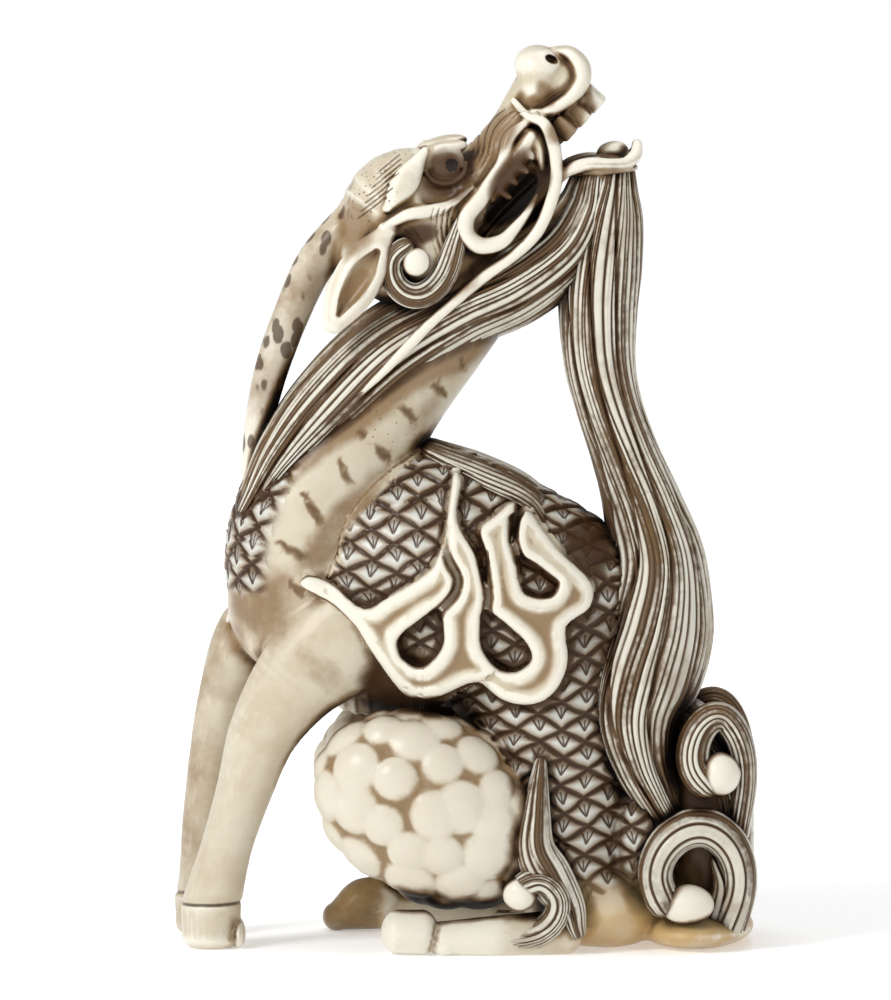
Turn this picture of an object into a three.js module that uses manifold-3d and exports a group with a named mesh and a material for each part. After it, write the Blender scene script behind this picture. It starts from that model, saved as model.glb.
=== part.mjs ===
// A netsuke: a seated kirin with its head turned back and thrown up, carved from one block.
// Millimetres, +Z up. The beast faces -X and its muzzle points up towards +X.
// -Y is its near flank, +Y the far one.
import * as THREE from "three";
import { mergeVertices } from "three/addons/utils/BufferGeometryUtils.js";
import Module from "manifold-3d";

const wasm = await Module();
wasm.setup();

const NEAR = -1;
const FAR = 1;
const CAP_ROWS = 2;

// ---------------------------------------------------------------- from three.js geometry to solids

function solid(geometry) {
  const bare = geometry.index ? geometry.toNonIndexed() : geometry.clone();
  bare.deleteAttribute("normal");
  bare.deleteAttribute("uv");
  const merged = mergeVertices(bare, 1e-4);
  const made = new wasm.Manifold(
    new wasm.Mesh({
      numProp: 3,
      vertProperties: merged.attributes.position.array,
      triVerts: new Uint32Array(merged.index.array),
    }),
  );
  if (made.volume() < 0) throw new Error("inside out");
  return made;
}

const joined = (pieces) => pieces.flat().reduce((all, piece) => all.add(piece));

// A closed skin round a path. A station is [x, y, z, half-thickness in the XZ plane, half-depth across it].
// A hair lock has flutes: that many V-shaped grooves run along it, cut by a share of its radius.
function sweep(stations, { sides = 10, rows = 8, flutes = 0, groove = 0.2, blunt = 1 } = {}) {
  const path = new THREE.CatmullRomCurve3(stations.map(([x, y, z]) => new THREE.Vector3(x, y, z)));
  const size = new THREE.CatmullRomCurve3(stations.map(([, , , a, b]) => new THREE.Vector3(a, b ?? a, 0)));
  const around = flutes ? 2 * flutes : sides;
  const all = rows + 2 * CAP_ROWS;
  const skin = new THREE.SphereGeometry(1, around, all);
  for (let row = 0; row <= all; row++) {
    const share = THREE.MathUtils.clamp((row - CAP_ROWS) / rows, 0, 1);
    const inCap = row < CAP_ROWS ? CAP_ROWS - row : Math.max(0, row - CAP_ROWS - rows);
    const capAngle = ((inCap / CAP_ROWS) * Math.PI) / 2;
    const tangent = path.getTangent(share);
    const radii = size.getPoint(share);
    const endwise = Math.sin(capAngle) * Math.min(radii.x, radii.y) * blunt * (row < CAP_ROWS ? -1 : 1);
    const centre = path.getPoint(share).addScaledVector(tangent, endwise);
    const across = new THREE.Vector3(0, 1, 0).addScaledVector(tangent, -tangent.y).normalize();
    const inPlane = new THREE.Vector3().crossVectors(tangent, across);
    for (let column = 0; column <= around; column++) {
      const angle = ((column % around) / around) * 2 * Math.PI;
      const swell = Math.cos(capAngle) * (flutes && column % 2 ? 1 - groove : 1);
      const point = centre
        .clone()
        .addScaledVector(inPlane, Math.cos(angle) * radii.x * swell)
        .addScaledVector(across, Math.sin(angle) * radii.y * swell);
      skin.attributes.position.setXYZ(row * (around + 1) + column, point.x, point.y, point.z);
    }
  }
  return solid(skin);
}

// An ellipsoid. tilt turns it in the XZ plane, in degrees, nose up.
function egg([x, y, z], [along, deep, high], { tilt = 0, sides = 14, rows = 10 } = {}) {
  const ball = new THREE.SphereGeometry(1, sides, rows).rotateX(Math.PI / 2);
  ball.scale(along, deep, high).rotateY(THREE.MathUtils.degToRad(-tilt)).translate(x, y, z);
  return solid(ball);
}

// The same stations on the other flank.
const mirrored = (stations, side) => stations.map(([x, y, z, a, b]) => [x, y * side, z, a, b]);
const onBothFlanks = (stations, options) =>
  [NEAR, FAR].map((side) => sweep(mirrored(stations, side), options));

// ---------------------------------------------------------------- trunk, neck and mane

const TRUNK = [
  [-15.5, 0, 38, 10.5, 8.5],
  [-12.5, 0, 38, 13, 10.5],
  [-4.1, 0, 39, 15.4, 13],
  [3, 0, 37.2, 13.8, 13.5],
  [7.6, 0, 34, 13.2, 13.2],
  [9, 0, 27, 10.6, 12.8],
  [10.5, 0, 14, 8.6, 12.4],
  [12, 0, 7.5, 7, 11.5],
];
const grown = (stations, by) => stations.map(([x, y, z, a, b]) => [x, y, z, a + by, b + by]);
const trunk = (skin = 0) => sweep(grown(TRUNK, skin), { sides: 14, rows: 9 });
const seat = () => [
  egg([15, 0, 4.6], [7.5, 12, 5.4], { sides: 10, rows: 6 }),
  egg([19, 0, 12], [5, 10.5, 8.5], { sides: 8, rows: 6 }),
];

const neck = () =>
  sweep(
    [
      [-18.4, 0, 37.3, 7.9, 9],
      [-17.8, 0, 44.4, 8.6, 9.5],
      [-14.5, 0, 52.1, 8.2, 8.5],
      [-9, 0, 59.8, 6.4, 7],
      [-3, 0, 67, 5.5, 6],
      [1.4, 0, 72.5, 5, 6],
    ],
    { sides: 12, rows: 6 },
  );

// The neck's mane starts under the chin, passes below the cheek and ends in a point on the chest.
const mane = () => [
  sweep(
    [
      [13.8, 0, 84.4, 2.4, 4.8],
      [13, 0, 80.8, 3.4, 5.2],
      [10.6, 0, 76.8, 4.4, 6],
      [5.2, 0, 72.8, 4.8, 7],
      [-1, 0, 69.8, 4.6, 7.6],
      [-8.5, 0, 65.4, 5, 8.2],
      [-15.1, 0, 59.3, 4.6, 8.6],
      [-20, 0, 53.8, 3.4, 7.6],
      [-23.7, 0, 48.3, 1.8, 5.6],
    ],
    { flutes: 7, rows: 9 },
  ),
  sweep(
    [
      [-4.1, 0, 54.2, 1.5, 5],
      [1.4, 0, 51.5, 2.4, 8],
      [6.4, 0, 48.8, 2.4, 8.5],
      [8.6, 0, 45.5, 1.6, 8],
    ],
    { flutes: 6, rows: 3 },
  ),
];

// ---------------------------------------------------------------- head

const skull = () => [
  sweep(
    [
      [-9.4, 0, 76.3, 5, 6],
      [-7, 0, 80.6, 6.6, 7.4],
      [-2.6, 0, 81.8, 5.6, 7.2],
      [0.9, 0, 84.6, 3.3, 5.6],
      [4.2, 0, 88.6, 2.5, 4.4],
      [6.8, 0, 92, 2.9, 3.8],
      [8.6, 0, 94.8, 3.1, 3.6],
    ],
    { sides: 10, rows: 8 },
  ),
  egg([-4.2, 0, 75.6], [7.4, 7.4, 6.6], { sides: 10, rows: 6 }),
];

const jaw = () => [
  sweep(
    [
      [-4, 0, 70.6, 4, 6.4],
      [2.4, 0, 72.4, 3.8, 6.2],
      [7.2, 0, 74.9, 3.6, 5.8],
      [10.6, 0, 77.9, 3.4, 5.2],
      [12.6, 0, 81, 2.8, 4.8],
      [14.4, 0, 84.6, 2.2, 4.2],
    ],
    { sides: 8, rows: 5 },
  ),
  // the lower lip, hollow like a spout, and its rim
  egg([14.6, 0, 85.2], [4.2, 4.8, 0.9], { tilt: 4, sides: 8, rows: 4 }),
  onBothFlanks(
    [
      [10, 4.9, 84.4, 0.5],
      [11.2, 4.8, 85.5, 0.7],
      [13.4, 4.6, 86.1, 0.75],
      [15.6, 4.2, 86, 0.7],
      [17.4, 3.2, 86.1, 0.7],
      [18.5, 2, 87, 0.7],
      [18.7, 1.2, 88, 0.55],
    ],
    { sides: 4, rows: 5 },
  ),
];

// Two lobes with the upper lip wrapped round them.
const nose = () => [
  [NEAR, FAR].map((side) => egg([8.3, 1.9 * side, 96], [2.7, 2.8, 3.1], { tilt: -10, sides: 8, rows: 5 })),
  egg([9.6, 0, 95], [3.1, 2.4, 3], { sides: 7, rows: 4 }),
  onBothFlanks(
    [
      [10.4, 1.3, 98.2, 0.8, 1.2],
      [12.2, 1.6, 97.2, 1.1, 1.6],
      [12.6, 2.2, 95, 1.2, 1.8],
      [11.4, 2.7, 92.9, 1.2, 1.7],
      [9, 3.2, 91.5, 1, 1.5],
      [7.2, 3.5, 91.4, 0.6, 1],
    ],
    { sides: 5, rows: 4 },
  ),
];

const upperTeeth = () =>
  sweep(
    [
      [13.4, 0, 92.6, 1.6, 2.4],
      [9.8, 0, 89.4, 1.7, 3],
      [6.8, 0, 87.2, 1.2, 3],
    ],
    { sides: 6, rows: 2 },
  );

// The palate, and the wall at the back of the open mouth.
const palate = () => [
  sweep(
    [
      [1, 0, 80.5, 3, 4.4],
      [4.6, 0, 84, 2.2, 3.8],
      [7.6, 0, 87.8, 1.9, 3.2],
      [9.2, 0, 91, 2, 3],
    ],
    { sides: 7, rows: 3 },
  ),
  sweep(
    [
      [1.5, 0, 78, 3, 2],
      [5, 0, 81.6, 3, 2],
      [8.2, 0, 85, 2.3, 2],
    ],
    { sides: 6, rows: 2 },
  ),
];

const lips = () =>
  onBothFlanks(
    [
      [6.4, 4.2, 90.6, 0.5],
      [4.6, 4.7, 88.9, 0.7],
      [3.8, 5.2, 86, 0.8],
      [1.6, 6.1, 82.7, 0.95],
      [-0.1, 6.8, 80.4, 1],
      [0, 7, 78.4, 1],
      [1.6, 6.9, 77.3, 0.95],
      [3.7, 6.7, 77.7, 0.85],
      [5.4, 6.4, 79.3, 0.75],
      [7.2, 6, 81.7, 0.65],
      [8.6, 5.4, 84.4, 0.5],
    ],
    { sides: 4, rows: 8 },
  );

const whiskers = () =>
  onBothFlanks(
    [
      [6.6, 4.1, 91.4, 0.6],
      [8.4, 4.7, 90.6, 0.66],
      [9.5, 5.2, 88, 0.7],
      [9.8, 5.6, 84.9, 0.7],
      [9.1, 6, 81.8, 0.7],
      [7.6, 6.5, 78.7, 0.7],
      [5.3, 6.9, 76.4, 0.7],
      [2.2, 7.4, 74.1, 0.7],
      [-0.9, 7.7, 72.2, 0.7],
      [-4, 7.7, 69.1, 0.65],
      [-6.6, 7.7, 66.3, 0.5],
    ],
    { sides: 4, rows: 8 },
  );

const EYE = [-2.4, 5.1, 86.2];
const sockets = () =>
  [NEAR, FAR].map((side) =>
    egg([EYE[0] - 0.2, 8.1 * side, EYE[2] - 1.6], [3.1, 2.7, 3.9], { tilt: -15, sides: 7, rows: 5 }),
  );

const eyes = () =>
  [NEAR, FAR].flatMap((side) => [
    egg([EYE[0], EYE[1] * side, EYE[2]], [2.2, 1.7, 2.1], { sides: 7, rows: 5 }),
    sweep(
      mirrored(
        [
          [-8.6, 7, 81.4, 0.6, 1],
          [-6.9, 7.2, 84, 1.5, 1],
          [-4.6, 6.3, 87.6, 0.5, 0.8],
        ],
        side,
      ),
      { sides: 5, rows: 2 },
    ),
  ]);

const ears = () =>
  [NEAR, FAR].map((side) => {
    const leaf = [
      [-8.8, 7.2, 78.6, 1.2, 1.4],
      [-11, 8.2, 75.3, 2.6, 1.6],
      [-13.2, 8.8, 71.6, 2.1, 1.3],
      [-14.8, 9, 68.6, 0.8, 0.8],
    ];
    const hollow = [
      [-9.8, 9.6, 76.8, 0.5, 0.8],
      [-11.3, 10.2, 74.6, 1.5, 1.4],
      [-13, 10.4, 71.8, 1.1, 1.3],
      [-14, 10.2, 70, 0.4, 0.6],
    ];
    const outside = sweep(mirrored(leaf, side), { sides: 6, rows: 3 });
    return outside.subtract(sweep(mirrored(hollow, side), { sides: 5, rows: 2 }));
  });

const horn = () =>
  sweep(
    [
      [-12, 0, 80, 2.4],
      [-16.4, 0, 75.2, 2.2],
      [-19.1, 0, 69.7, 2],
      [-21.5, 0, 63.1, 1.85],
      [-23, 0, 56.5, 1.5],
      [-23.9, 0, 50, 0.9],
    ],
    { sides: 6, rows: 6 },
  );

// ---------------------------------------------------------------- hair that ends in curls

// A lock that winds in and ends in a smooth bulb: [x, y, z, and its half-sizes along each axis].
// The far flank's locks are plainer.
function curl(stations, [x, y, z, ...halves], side, { flutes = 4, rows = 6 } = {}) {
  const detail = side === NEAR ? { flutes, rows } : { flutes: flutes - 1, rows: rows - 1 };
  const bulbDetail = side === NEAR ? { sides: 7, rows: 5 } : { sides: 6, rows: 4 };
  return [sweep(mirrored(stations, side), detail), egg([x, y * side, z], halves, bulbDetail)];
}

const bothFlanks = (make) => [make(NEAR), make(FAR)].flat();

const CHEEK_CURL = [
  [-0.4, 6.4, 80.6, 0.7, 1],
  [-1.5, 6.9, 76.8, 1.3, 1.3],
  [-2.7, 7.2, 73.5, 1.45, 1.4],
  [-5.4, 7.5, 71.6, 1.45, 1.4],
  [-8, 7.7, 73.1, 1.3, 1.3],
  [-8.3, 7.9, 75.9, 1.2, 1.2],
  [-6.9, 8, 77.2, 1.1, 1.1],
];
const CHEEK_BULB = [-5.6, 8.2, 75.6, 1.6, 1.3, 1.6];
const UPPER_CURL = [
  [29.4, 5.6, 12.6, 1.6, 3.4],
  [30.5, 6.8, 18.2, 1.4, 3.2],
  [30, 7.6, 23, 1.5, 3],
  [27.7, 8.2, 26, 1.7, 2.8],
  [25.2, 9, 24.2, 1.9, 2.6],
  [24.6, 9.6, 20.8, 2, 2.6],
  [25.9, 9.9, 18.8, 2, 2.6],
];
const UPPER_BULB = [27.7, 10.2, 19.6, 2.3, 2.5, 2.4];
const LOWER_CURL = [
  [28.6, 6.4, 2.9, 2.2, 3.6],
  [30.1, 7.3, 7.2, 1.9, 3.6],
  [29, 8.3, 11.7, 2.1, 3.5],
  [25.6, 9.1, 13.9, 2.2, 3.4],
  [21.9, 9.8, 12.2, 2.1, 3.2],
  [20.4, 10.3, 8.6, 1.9, 3],
  [21.4, 10.7, 5.8, 2, 2.8],
];
const LOWER_BULB = [24.1, 11, 5.3, 3, 2.5, 2.2];
const INNER_LOCK = [
  [27.2, 6.6, 3.4, 1.5, 2.6],
  [28, 7, 7, 1.2, 2.6],
  [26.6, 7.4, 9.8, 1.1, 2.6],
  [24.2, 7.6, 10.4, 0.8, 2.4],
];
const HOCK_CURL = [
  [3.4, 11.8, 1.7, 1.5, 3],
  [7.2, 12.2, 1.9, 1.6, 3],
  [9.8, 12.6, 3.9, 1.6, 2.8],
  [10.1, 13, 6.6, 1.5, 2.6],
  [8.2, 13.4, 8.3, 1.5, 2.4],
  [6.6, 13.7, 7.9, 1.6, 2],
];
const HOCK_BULB = [5.8, 14, 6.8, 1.9, 1.7, 1.9];
const TUFT = [
  [8.1, 11.9, 21, 0.7, 2.4],
  [7.6, 12.4, 16.3, 1.5, 2.9],
  [7.4, 12.6, 11.9, 2.2, 3],
  [9, 12.5, 8.6, 2.6, 2.8],
  [11, 12.2, 5.4, 2, 2.6],
  [11.9, 12, 2.8, 1.2, 2.4],
];

const cheekCurls = () => bothFlanks((side) => curl(CHEEK_CURL, CHEEK_BULB, side, { flutes: 3 }));

const tailCurls = () =>
  bothFlanks((side) => [
    ...curl(UPPER_CURL, UPPER_BULB, side),
    ...curl(LOWER_CURL, LOWER_BULB, side),
    sweep(mirrored(INNER_LOCK, side), { flutes: 3, rows: 3 }),
  ]);

const curlCore = () => egg([25.6, 0, 12.6], [5.6, 8.6, 11.6], { sides: 10, rows: 7 });

const tufts = () =>
  bothFlanks((side) => [
    sweep(mirrored(TUFT, side), { flutes: side === NEAR ? 4 : 3, rows: 5 }),
    ...curl(HOCK_CURL, HOCK_BULB, side),
  ]);

const tail = () =>
  sweep(
    [
      [15.6, 0, 83.8, 3.2, 4.7],
      [15.1, 0, 80.2, 4.3, 5.2],
      [14.6, 0, 74.7, 4.7, 5.6],
      [14.4, 0, 69.7, 4.4, 5.6],
      [14.6, 0, 64.2, 4, 5.2],
      [15.6, 0, 59.3, 3.7, 5],
      [17.4, 0, 53.8, 3.8, 5.4],
      [19.4, 0, 48, 4.5, 6.4],
      [20.6, 0, 42.2, 5.8, 8.2],
      [19.8, 0, 36.2, 7.6, 10.6],
      [18.6, 0, 30.7, 7.8, 12.6],
      [18, 0, 25.6, 6.3, 13.2],
      [19, 0, 20.8, 4.5, 12.8],
      [20.8, 0, 16.8, 3.4, 11.6],
      [23, 0, 12.8, 2.4, 9],
    ],
    { flutes: 9, rows: 11 },
  );

// ---------------------------------------------------------------- legs

const forelegs = () => [
  sweep(
    [
      [-11.5, -7, 36, 6, 4.5],
      [-15.4, -7.4, 32.8, 5.9, 4.5],
      [-19.2, -7.4, 28.8, 4.8, 4.2],
      [-22.4, -6.8, 23.6, 3.8, 3.6],
      [-24.4, -6.2, 17.5, 3.1, 3.1],
      [-26.3, -6, 11.4, 2.8, 2.9],
      [-27.6, -6, 6.6, 3.1, 3.2],
      [-28, -6, 5, 3.2, 3.3],
    ],
    { sides: 9, rows: 9 },
  ),
  sweep(
    [
      [-28.1, -6, 4.6, 3.3, 3.5],
      [-28.1, -6, 1.2, 3.2, 3.4],
    ],
    { sides: 8, rows: 1, blunt: 0.5 },
  ),
  sweep(
    [
      [-20, 6, 36, 4.5, 4],
      [-23.9, 6, 33, 4, 4],
      [-26.3, 6, 26.3, 3.4, 3.4],
      [-27.7, 6, 19.7, 3, 3],
      [-28.7, 6, 13.1, 2.7, 2.8],
      [-29.3, 6, 7.1, 2.5, 2.8],
      [-29.4, 6, 5, 2.7, 3],
    ],
    { sides: 8, rows: 7 },
  ),
  sweep(
    [
      [-29.4, 6, 4.2, 2.9, 3.2],
      [-29.4, 6, 1.2, 2.8, 3.1],
    ],
    { sides: 8, rows: 1, blunt: 0.5 },
  ),
];

// The thighs are eggs covered with round lumps, one on each corner and each face of an icosahedron.
const corners = new THREE.IcosahedronGeometry(1, 0).attributes.position;
const lumpCentres = Array.from({ length: corners.count }, (_, i) => {
  const corner = new THREE.Vector3().fromBufferAttribute(corners, i);
  if (i % 3) return [corner];
  const [next, last] = [1, 2].map((k) => new THREE.Vector3().fromBufferAttribute(corners, i + k));
  return [corner, corner.clone().add(next).add(last).normalize()];
}).flat();
const LUMP_TOP = 1.04;
const LUMP_FALL = 0.9;
function lumpy(point) {
  const nearest = Math.min(...lumpCentres.map((centre) => centre.distanceTo(point)));
  return LUMP_TOP - LUMP_FALL * nearest ** 2;
}

const THIGH_CENTRE = [-3.5, 9.4, 15.6];
const THIGH = [13.9, 7.5, 10.2];
const THIGH_TILT = 25;
const NEAR_THIGH_DETAIL = 4;
const FAR_THIGH_DETAIL = 2;
const thighs = () =>
  [NEAR, FAR].map((side) => {
    const ball = new THREE.IcosahedronGeometry(1, side === NEAR ? NEAR_THIGH_DETAIL : FAR_THIGH_DETAIL);
    const position = ball.attributes.position;
    for (let i = 0; i < position.count; i++) {
      const point = new THREE.Vector3().fromBufferAttribute(position, i);
      point.multiplyScalar(lumpy(point));
      position.setXYZ(i, point.x, point.y, point.z);
    }
    const [x, y, z] = THIGH_CENTRE;
    ball.scale(...THIGH).rotateY(THREE.MathUtils.degToRad(THIGH_TILT)).translate(x, y * side, z);
    return solid(ball);
  });

const feet = () => [
  sweep(
    [
      [-7.9, -12.6, 2.4, 2.5, 3],
      [-5.2, -12.6, 2.4, 2.5, 3],
    ],
    { sides: 8, rows: 1, blunt: 0.7 },
  ),
  sweep(
    [
      [-2.6, -12.4, 1.7, 1.9, 2.6],
      [3, -12.4, 1.9, 2.3, 2.8],
      [10, -11, 2.1, 2.6, 3],
    ],
    { sides: 7, rows: 3 },
  ),
  sweep(
    [
      [-14.4, 10.5, 1.5, 1.6, 2.6],
      [-11.8, 10.5, 2.7, 2.8, 3.2],
      [-9.6, 10.5, 3.4, 2.7, 3.2],
    ],
    { sides: 8, rows: 2 },
  ),
  sweep(
    [
      [-10, 10.8, 2.4, 2.3, 2.8],
      [4, 12, 1.9, 2.3, 2.8],
      [10, 11, 2.1, 2.6, 3],
    ],
    { sides: 7, rows: 3 },
  ),
  egg([25, 0, 1.9], [6.6, 12.6, 2.4], { sides: 10, rows: 6 }),
];

// ---------------------------------------------------------------- flames over the shoulders

const FLAME_SKIN = 2.2;
const FLAME_DEPTH = [5, 20];

const FLAME_OUTLINE = [
  [-18.3, 40.4], [-17.5, 41.3], [-16, 41], [-14.3, 40.1], [-11.2, 37.9], [-8.5, 39.3], [-4.4, 41.9],
  [-3.2, 43.6], [-2.5, 45.6], [-2, 48.5], [-1.4, 52.4], [-0.7, 51.6], [-1.2, 48.7], [-0.7, 46.6],
  [0.9, 44.1], [1.9, 40.8], [2, 44.1], [1.4, 46.6], [3.2, 48.1], [5.2, 49.3], [4.8, 45.2],
  [6.4, 48.5], [8.5, 46.2], [10.2, 44.1], [13.5, 40.8], [13.4, 38.2], [10.8, 36.2], [11, 32.7],
  [10.2, 30], [8.5, 28.2], [6.2, 27.6], [3.6, 28.2], [0.9, 30], [-2.9, 28.3], [-5.4, 27.9],
  [-7.2, 28.7], [-10.5, 33.3], [-12.2, 36], [-14.3, 38], [-16.8, 39.4],
];
const FLAME_HOLES = [
  [[-6.4, 36], [-7.6, 34.5], [-7.2, 32.7], [-5.7, 31.6], [-4.4, 31.8], [-2.9, 33.5], [-3.2, 38.1]],
  [[1.4, 34.7], [2.2, 32.7], [3.6, 31.4], [5.4, 31.2], [6.8, 32.2], [7, 33.5], [5.7, 35.3], [2, 38]],
  [[5.9, 40.3], [7.5, 39.3], [9.2, 39.4], [10, 40.5], [9.5, 41.5], [5.7, 43.8]],
];
const polygon = (points) => points.map(([x, z]) => new THREE.Vector2(x, z));

const flames = () => {
  const shape = new THREE.Shape(polygon(FLAME_OUTLINE));
  shape.holes = FLAME_HOLES.map((hole) => new THREE.Path(polygon(hole)));
  const depth = FLAME_DEPTH[1] - FLAME_DEPTH[0];
  const cutter = new THREE.ExtrudeGeometry(shape, { depth, bevelEnabled: false });
  cutter.rotateX(Math.PI / 2);
  return [NEAR, FAR].map((side) => {
    const y = side === NEAR ? -FLAME_DEPTH[0] : FLAME_DEPTH[1];
    return trunk(FLAME_SKIN).intersect(solid(cutter.clone().translate(0, y, 0)));
  });
};

// ---------------------------------------------------------------- the carving

const head = joined([skull(), jaw(), nose(), upperTeeth(), palate(), lips(), whiskers()].flat(3));
const hollowed = sockets().reduce((left, socket) => left.subtract(socket), head);
const hair = [mane(), cheekCurls(), tailCurls(), curlCore(), tufts(), tail()].flat(3);
const limbs = [forelegs(), thighs(), feet()].flat(3);
const bare = [trunk(), seat(), neck(), hollowed, eyes(), ears(), horn()].flat(3);
const body = joined([bare, hair, limbs, flames()].flat(3));

const GROUND_WIDE = 200;
const GROUND_DEEP = 50;
const floor = new THREE.BoxGeometry(GROUND_WIDE, GROUND_WIDE, GROUND_DEEP).translate(0, 0, -GROUND_DEEP / 2);
const shells = body.subtract(solid(floor)).decompose();
const carving = joined(shells.filter((shell) => shell.volume() > 0));

// The origin is the middle of the footprint, at the ground.
const FOOTPRINT_MIDDLE = -0.2;

const mesh = carving.getMesh();
const geometry = new THREE.BufferGeometry();
geometry.setAttribute("position", new THREE.BufferAttribute(mesh.vertProperties, 3));
geometry.setIndex(new THREE.BufferAttribute(mesh.triVerts, 1));
geometry.translate(-FOOTPRINT_MIDDLE, 0, 0).computeVertexNormals();

const ivory = new THREE.MeshStandardMaterial({ color: 0xe6dcc6, roughness: 0.35, metalness: 0 });
const kirin = new THREE.Mesh(geometry, ivory);
kirin.name = "kirin";

const netsuke = new THREE.Group();
netsuke.add(kirin);
export default netsuke;
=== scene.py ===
"""A netsuke of stained ivory: a seated kirin with its head thrown back.

The forms repeat the solid's, as fields of signed distance in millimetres. Their skin is meshed finely, then
cut with scales and lines. The hair is swept strand by strand. -Y is the near flank, and the beast faces -X.
"""

import math

import bpy
import numpy as np
import openvdb
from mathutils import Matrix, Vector


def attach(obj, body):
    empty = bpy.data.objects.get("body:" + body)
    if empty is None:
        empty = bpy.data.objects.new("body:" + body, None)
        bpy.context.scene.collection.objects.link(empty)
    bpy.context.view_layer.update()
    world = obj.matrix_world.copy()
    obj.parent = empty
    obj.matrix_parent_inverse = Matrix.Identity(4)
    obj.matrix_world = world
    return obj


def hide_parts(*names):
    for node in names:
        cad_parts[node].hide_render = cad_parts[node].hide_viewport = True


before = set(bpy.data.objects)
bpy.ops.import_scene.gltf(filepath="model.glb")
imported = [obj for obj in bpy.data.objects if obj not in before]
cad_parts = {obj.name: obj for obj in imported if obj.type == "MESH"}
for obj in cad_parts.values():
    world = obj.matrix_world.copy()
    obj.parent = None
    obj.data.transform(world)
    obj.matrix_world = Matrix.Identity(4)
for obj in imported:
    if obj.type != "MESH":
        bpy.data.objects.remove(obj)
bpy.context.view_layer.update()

MM = 0.001
SIDES = (-1, 1)
FOOTPRINT_MIDDLE = -0.2
rng = np.random.default_rng(7)


# ---------------------------------------------------------------- forms as signed distances, in millimetres


def spline(stations, per_span=6):
    """Samples of a Catmull-Rom curve through rows of numbers."""
    s = np.array(stations, float)
    s = np.vstack([2 * s[0] - s[1], s, 2 * s[-1] - s[-2]])
    t = np.linspace(0, 1, per_span, endpoint=False)[:, None]
    spans = []
    for a, b, c, d in zip(s, s[1:], s[2:], s[3:]):
        square, cube = 2 * a - 5 * b + 4 * c - d, 3 * b - a - 3 * c + d
        spans.append(0.5 * (2 * b + (c - a) * t + square * t**2 + cube * t**3))
    return np.vstack(spans + [s[-2:-1]])


def arc_lengths(line):
    return np.concatenate([[0], np.cumsum(np.linalg.norm(np.diff(line, axis=0), axis=1))])


def ease(low, high, x):
    """0 at low, 1 at high, and smooth between; low may be the greater."""
    t = np.clip((x - low) / (high - low), 0, 1)
    return t * t * (3 - 2 * t)


def off_segment(q, a, b):
    """In a plane: how far each point is from the segment a to b, and its place along it from 0 to 1."""
    along = b - a
    t = np.clip((q - a) @ along / max(along @ along, 1e-12), 0, 1)
    return np.linalg.norm(q - a - t[:, None] * along, axis=1), t


def turned(p, x, z, tilt):
    """Offsets from a spot in the XZ plane, along a direction of tilt degrees and across it."""
    c, s = math.cos(math.radians(tilt)), math.sin(math.radians(tilt))
    dx, dz = p[:, 0] - x, p[:, 2] - z
    return dx * c + dz * s, dz * c - dx * s


def full_station(station):
    """A station is [x, y, z, half-thickness in the XZ plane, half-depth across it]."""
    return list(station) + [station[3]] * (5 - len(station))


def mirrored(stations, side):
    return [[s[0], s[1] * side, *s[2:]] for s in stations]


def ellipsoid_distance(q, radii):
    """About how far each point is from an ellipsoid, in the ellipsoid's own axes."""
    k0 = np.sqrt(sum((a / r) ** 2 for a, r in zip(q, radii)))
    k1 = np.sqrt(sum((a / r**2) ** 2 for a, r in zip(q, radii)))
    at_middle = -np.min(np.broadcast_arrays(*radii), axis=0)
    return np.where(k1 > 1e-6, k0 * (k0 - 1) / np.maximum(k1, 1e-6), at_middle)


class Sweep:
    """A tube of elliptic section round a path of stations, with rounded ends."""

    def __init__(self, stations, blunt=1.0, per_span=6):
        line = spline([full_station(s) for s in stations], per_span)
        self.centre, self.size, self.blunt = line[:, :3], line[:, 3:], blunt
        tangent = np.gradient(self.centre, axis=0)
        self.step = np.linalg.norm(tangent, axis=1)
        self.tangent = tangent / self.step[:, None]
        across = np.array([0, 1, 0]) - self.tangent * self.tangent[:, 1:2]
        self.across = across / np.linalg.norm(across, axis=1)[:, None]
        self.in_plane = np.cross(self.tangent, self.across)
        self.growth = np.gradient(self.size, axis=0)
        reach = self.size.max(axis=1)[:, None]
        self.low, self.high = (self.centre - reach).min(axis=0), (self.centre + reach).max(axis=0)

    def local(self, p):
        """For each point: its place along the path in samples, its offsets in plane, across and past the end,
        and the half-sizes of the section there.
        """
        near = np.empty(len(p), int)
        c = self.centre.astype(np.float32)
        squares = (c**2).sum(axis=1)
        for start in range(0, len(p), BATCH):
            part = p[start : start + BATCH].astype(np.float32)
            near[start : start + BATCH] = np.argmin(squares - 2 * part @ c.T, axis=1)
        q = p - self.centre[near]
        along = (q * self.tangent[near]).sum(axis=1)
        last = len(self.centre) - 1
        low = np.where(near == 0, 0, -0.6) * self.step[near]
        high = np.where(near == last, 0, 0.6) * self.step[near]
        slid = np.clip(along, low, high)
        share = slid / self.step[near]
        size = np.maximum(self.size[near] + self.growth[near] * share[:, None], 0.05)
        u = (q * self.in_plane[near]).sum(axis=1)
        v = (q * self.across[near]).sum(axis=1)
        return near + share, u, v, along - slid, size

    def distance(self, p, skin=0.0):
        _, u, v, w, size = self.local(p)
        a, b = size[:, 0] + skin, size[:, 1] + skin
        return ellipsoid_distance((u, v, w), (a, b, np.minimum(a, b) * self.blunt))


class Egg:
    """An ellipsoid, turned by tilt degrees in the XZ plane, nose up."""

    def __init__(self, centre, radii, tilt=0.0):
        self.centre, self.radii = np.array(centre, float), radii
        c, s = math.cos(math.radians(tilt)), math.sin(math.radians(tilt))
        self.along, self.up = np.array([c, 0, s]), np.array([-s, 0, c])
        self.low, self.high = self.centre - max(radii), self.centre + max(radii)

    def local(self, p):
        q = p - self.centre
        return q @ self.along, q[:, 1], q @ self.up

    def distance(self, p):
        return ellipsoid_distance(self.local(p), self.radii)


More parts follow.
